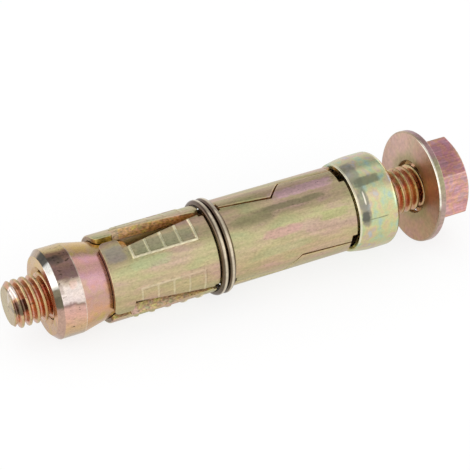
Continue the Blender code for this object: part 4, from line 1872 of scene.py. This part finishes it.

# Drawn and burnished: pale aqua and green with yellow and rose clouds, two dark patches by the rim, a thin
# painted highlight in one of them, and a painted highlight along the rim.
FERRULE_ZINC = PlatedZinc(
    name="drawn_ferrule_zinc_yellow",
    bands=(
        (0.0, "#b8bc9c"),
        (0.42, "#b8bca0"),
        (0.5, "#d8d8a8"),
        (0.58, "#d4d8b4"),
        (0.63, "#dce0c0"),
        (0.67, "#bcc4a4"),
        (0.7, "#dceccc"),
        (0.74, "#d0dcc8"),
        (0.8, "#bcb8b0"),
        (1.0, "#b8bc9c"),
    ),
    tints=((0.32, "#a8d0cc"), (0.43, "#ccdca4"), (0.53, "#ecd494"), (0.6, "#e4bca8"), (0.68, "#c4c4d8")),
    tint_share=0.56,
    patch_around_mm=1.7,
    patch_along_mm=1.4,
    grain_share=0.06,
    streak_share=0.03,
    speck_share=0.08,
    stains_and_highlights=(
        StainAndHighlight(15.5, 74.0, 0.9, 20.0, "#98988c", 0.7),
        StainAndHighlight(16.9, 58.5, 1.7, 6.0, "#8c9078", 0.8),
        StainAndHighlight(15.55, 27.0, 0.66, 24.0, "#8c8c80", 0.8),
        StainAndHighlight(15.45, 15.0, 0.5, 7.0, "#5c5c58", 0.75),
        # A thin sliver of painted highlight in the dark patch at 27 degrees.
        StainAndHighlight(15.75, 38.0, 0.1, 8.0, "#fff8e4", 0.95),
        StainAndHighlight(17.2, 10.5, 1.5, 0.7, "#8c8c6c", 0.7),
        # A painted highlight along the rim's rounded edge.
        StainAndHighlight(14.77, 40.0, 0.12, 75.0, "#f8f0d4", 0.8),
    ),
    roughness=(0.18, 0.28),
    bump_mm=0.006,
)

# Stamped sheet: rosy beige that darkens to brown, with a satin sheen.
WASHER_ZINC = PlatedZinc(
    name="stamped_washer_zinc_yellow",
    bands=(
        (0.0, "#c8ac98"),
        (0.3, "#bc9470"),
        (0.42, "#bc9470"),
        (0.5, "#cca488"),
        (0.6, "#d4b098"),
        (0.7, "#dcb8a8"),
        (0.85, "#e0c0b0"),
        (1.0, "#c8ac98"),
    ),
    tints=((0.3, "#c4bc90"), (0.45, "#d8b494"), (0.58, "#dcaca4"), (0.7, "#dcb8b4")),
    tint_share=0.4,
    patch_around_mm=2.4,
    patch_along_mm=2.4,
    grain_share=0.06,
    speck_share=0.1,
    crest=CrestWearAndHighlight(4.9, 3.9, "#a09c64", 0.6),
    roughness=(0.3, 0.42),
)

# Edge of the washer's face towards the tip: a white painted highlight from the front round towards the top,
# darker elsewhere.
WASHER_EDGE_HIGHLIGHT = PlatedZinc(
    name="edge_painted_highlight_zinc",
    bands=(
        (0.0, "#b89c84"),
        (0.5, "#a88c74"),
        (0.525, "#fff8ea"),
        (0.705, "#fff8ea"),
        (0.74, "#c0a48c"),
        (1.0, "#b89c84"),
    ),
    tints=((0.35, "#e8d8b8"), (0.65, "#f0e4d4")),
    tint_share=0.15,
    grain_share=0.05,
    speck_share=0.1,
    roughness=(0.1, 0.18),
    bump_mm=0.004,
)

# Rim of the washer, sheared and plated: mauve with a band of yellow green.
WASHER_RIM = PlatedZinc(
    name="stamped_rim_zinc_yellow",
    bands=(
        (0.0, "#c4a8a0"),
        (0.45, "#ccaca4"),
        (0.52, "#c8aca4"),
        (0.57, "#a8a47c"),
        (0.63, "#acac80"),
        (0.67, "#b89494"),
        (0.8, "#b89498"),
        (1.0, "#c4a8a0"),
    ),
    tints=((0.3, "#bca48c"), (0.5, "#b89498"), (0.7, "#a8a47c")),
    tint_share=0.25,
    sway=0.02,
    roughness=(0.26, 0.38),
)

# Drawn spring wire with little zinc on it: glossy, with a thin painted highlight along the outside of the
# wire.
HOOP_STEEL = PlatedZinc(
    name="drawn_spring_wire",
    bands=(
        (0.0, "#685a4a"),
        (0.4, "#6c5e4c"),
        (0.5, "#786a54"),
        (0.62, "#70604c"),
        (0.75, "#746258"),
        (1.0, "#685a4a"),
    ),
    tints=((0.35, "#686050"), (0.65, "#785e50")),
    tint_share=0.4,
    patch_around_mm=1.2,
    patch_along_mm=1.2,
    grain_share=0.05,
    speck_share=0.15,
    # The thin painted highlight along the outside of the wire.
    crest=CrestWearAndHighlight(6.045, 6.095, "#fff0d4", 0.75),
    roughness=(0.1, 0.18),
    bump_mm=0.003,
)

# The torn face that the press leaves: rough, speckled copper, yellow and green; its golden colour on the
# walls of the slot at the top is lightened as painted light.
SHEARED_ZINC = PlatedZinc(
    name="sheared_edge_zinc_yellow",
    bands=(
        (0.0, "#b8b094"),
        (0.35, "#bcbca0"),
        (0.42, "#b8b08c"),
        (0.5, "#bca88c"),
        (0.64, "#d4b888"),
        # The golden bands of the slot walls at the top: the film's colour, lightened as painted light.
        (0.72, "#e4bc8c"),
        (0.78, "#f0d08c"),
        (0.84, "#e8c490"),
        (1.0, "#b8b094"),
    ),
    tints=((0.34, "#dcd474"), (0.46, "#e0b478"), (0.56, "#dca894"), (0.66, "#a4a870")),
    tint_share=0.6,
    patch_around_mm=0.6,
    patch_along_mm=0.9,
    grain_mm=0.24,
    grain_share=0.5,
    speck_share=0.6,
    stains_and_highlights=(
        StainAndHighlight(-18.55, 0.0, 0.12, ALL_ROUND, "#8c7464", 0.75),
        StainAndHighlight(-17.1, 94.5, 1.2, 7.0, "#c4bc4c", 0.7),
        StainAndHighlight(-15.3, 111.0, 0.5, 9.0, "#c8c0b4", 0.5),
        StainAndHighlight(-15.3, -54.0, 0.5, 9.0, "#e0b8b0", 0.5),
    ),
    roughness=(0.3, 0.46),
    bump_mm=0.04,
)


def main() -> None:
    """Build the anchor's pieces in order, then the studio."""
    logging.basicConfig(level=logging.INFO, format="%(name)s: %(message)s")
    sizes = AnchorSizes()
    axis = BoltAxis.from_frame(sizes)
    bolt_zinc = BOLT_ZINC.build(axis)
    shield_zinc = SHIELD_ZINC.build(axis)
    sheared_zinc = SHEARED_ZINC.build(axis)
    hoop_steel = HOOP_STEEL.build(axis)

    bolt = Bolt(sizes)
    finish_piece("bolt", bolt.mesh(bolt_zinc, HEAD_ZINC.build(axis)), axis, Body.BOLT)
    nut = ExpanderNut(sizes)
    turned = [finish.build(axis) for finish in (COLLAR_ZINC, CONE_ZINC, CHAMFER_ZINC)]
    finish_piece("expander_nut", nut.mesh(*turned), axis, Body.NUT)
    ferrule = Ferrule(sizes)
    finish_piece("ferrule", ferrule.mesh(), axis, Body.CORE, [FERRULE_ZINC.build(axis)])
    washer = Washer(sizes)
    stamped = [finish.build(axis) for finish in (WASHER_ZINC, WASHER_EDGE_HIGHLIGHT, WASHER_RIM)]
    finish_piece("washer", washer.mesh(*stamped), axis, Body.WASHER)
    hoop = SpringHoop(sizes)
    finish_piece("spring_hoop", hoop.mesh(hoop_steel), axis, Body.CORE, sharp_degrees=50.0)
    shield = (Body.FRONT, Body.TOP, Body.UNDER)
    front_turn = 28.5
    for index, body in enumerate(shield):
        segment = ShieldSegment(sizes, nut, body, turn=front_turn + 360.0 / len(shield) * index)
        mesh = segment.mesh(shield_zinc, sheared_zinc)
        finish_piece(body.value, mesh, axis, body)
    Studio().build(axis)


if __name__ == "__main__":
    main()
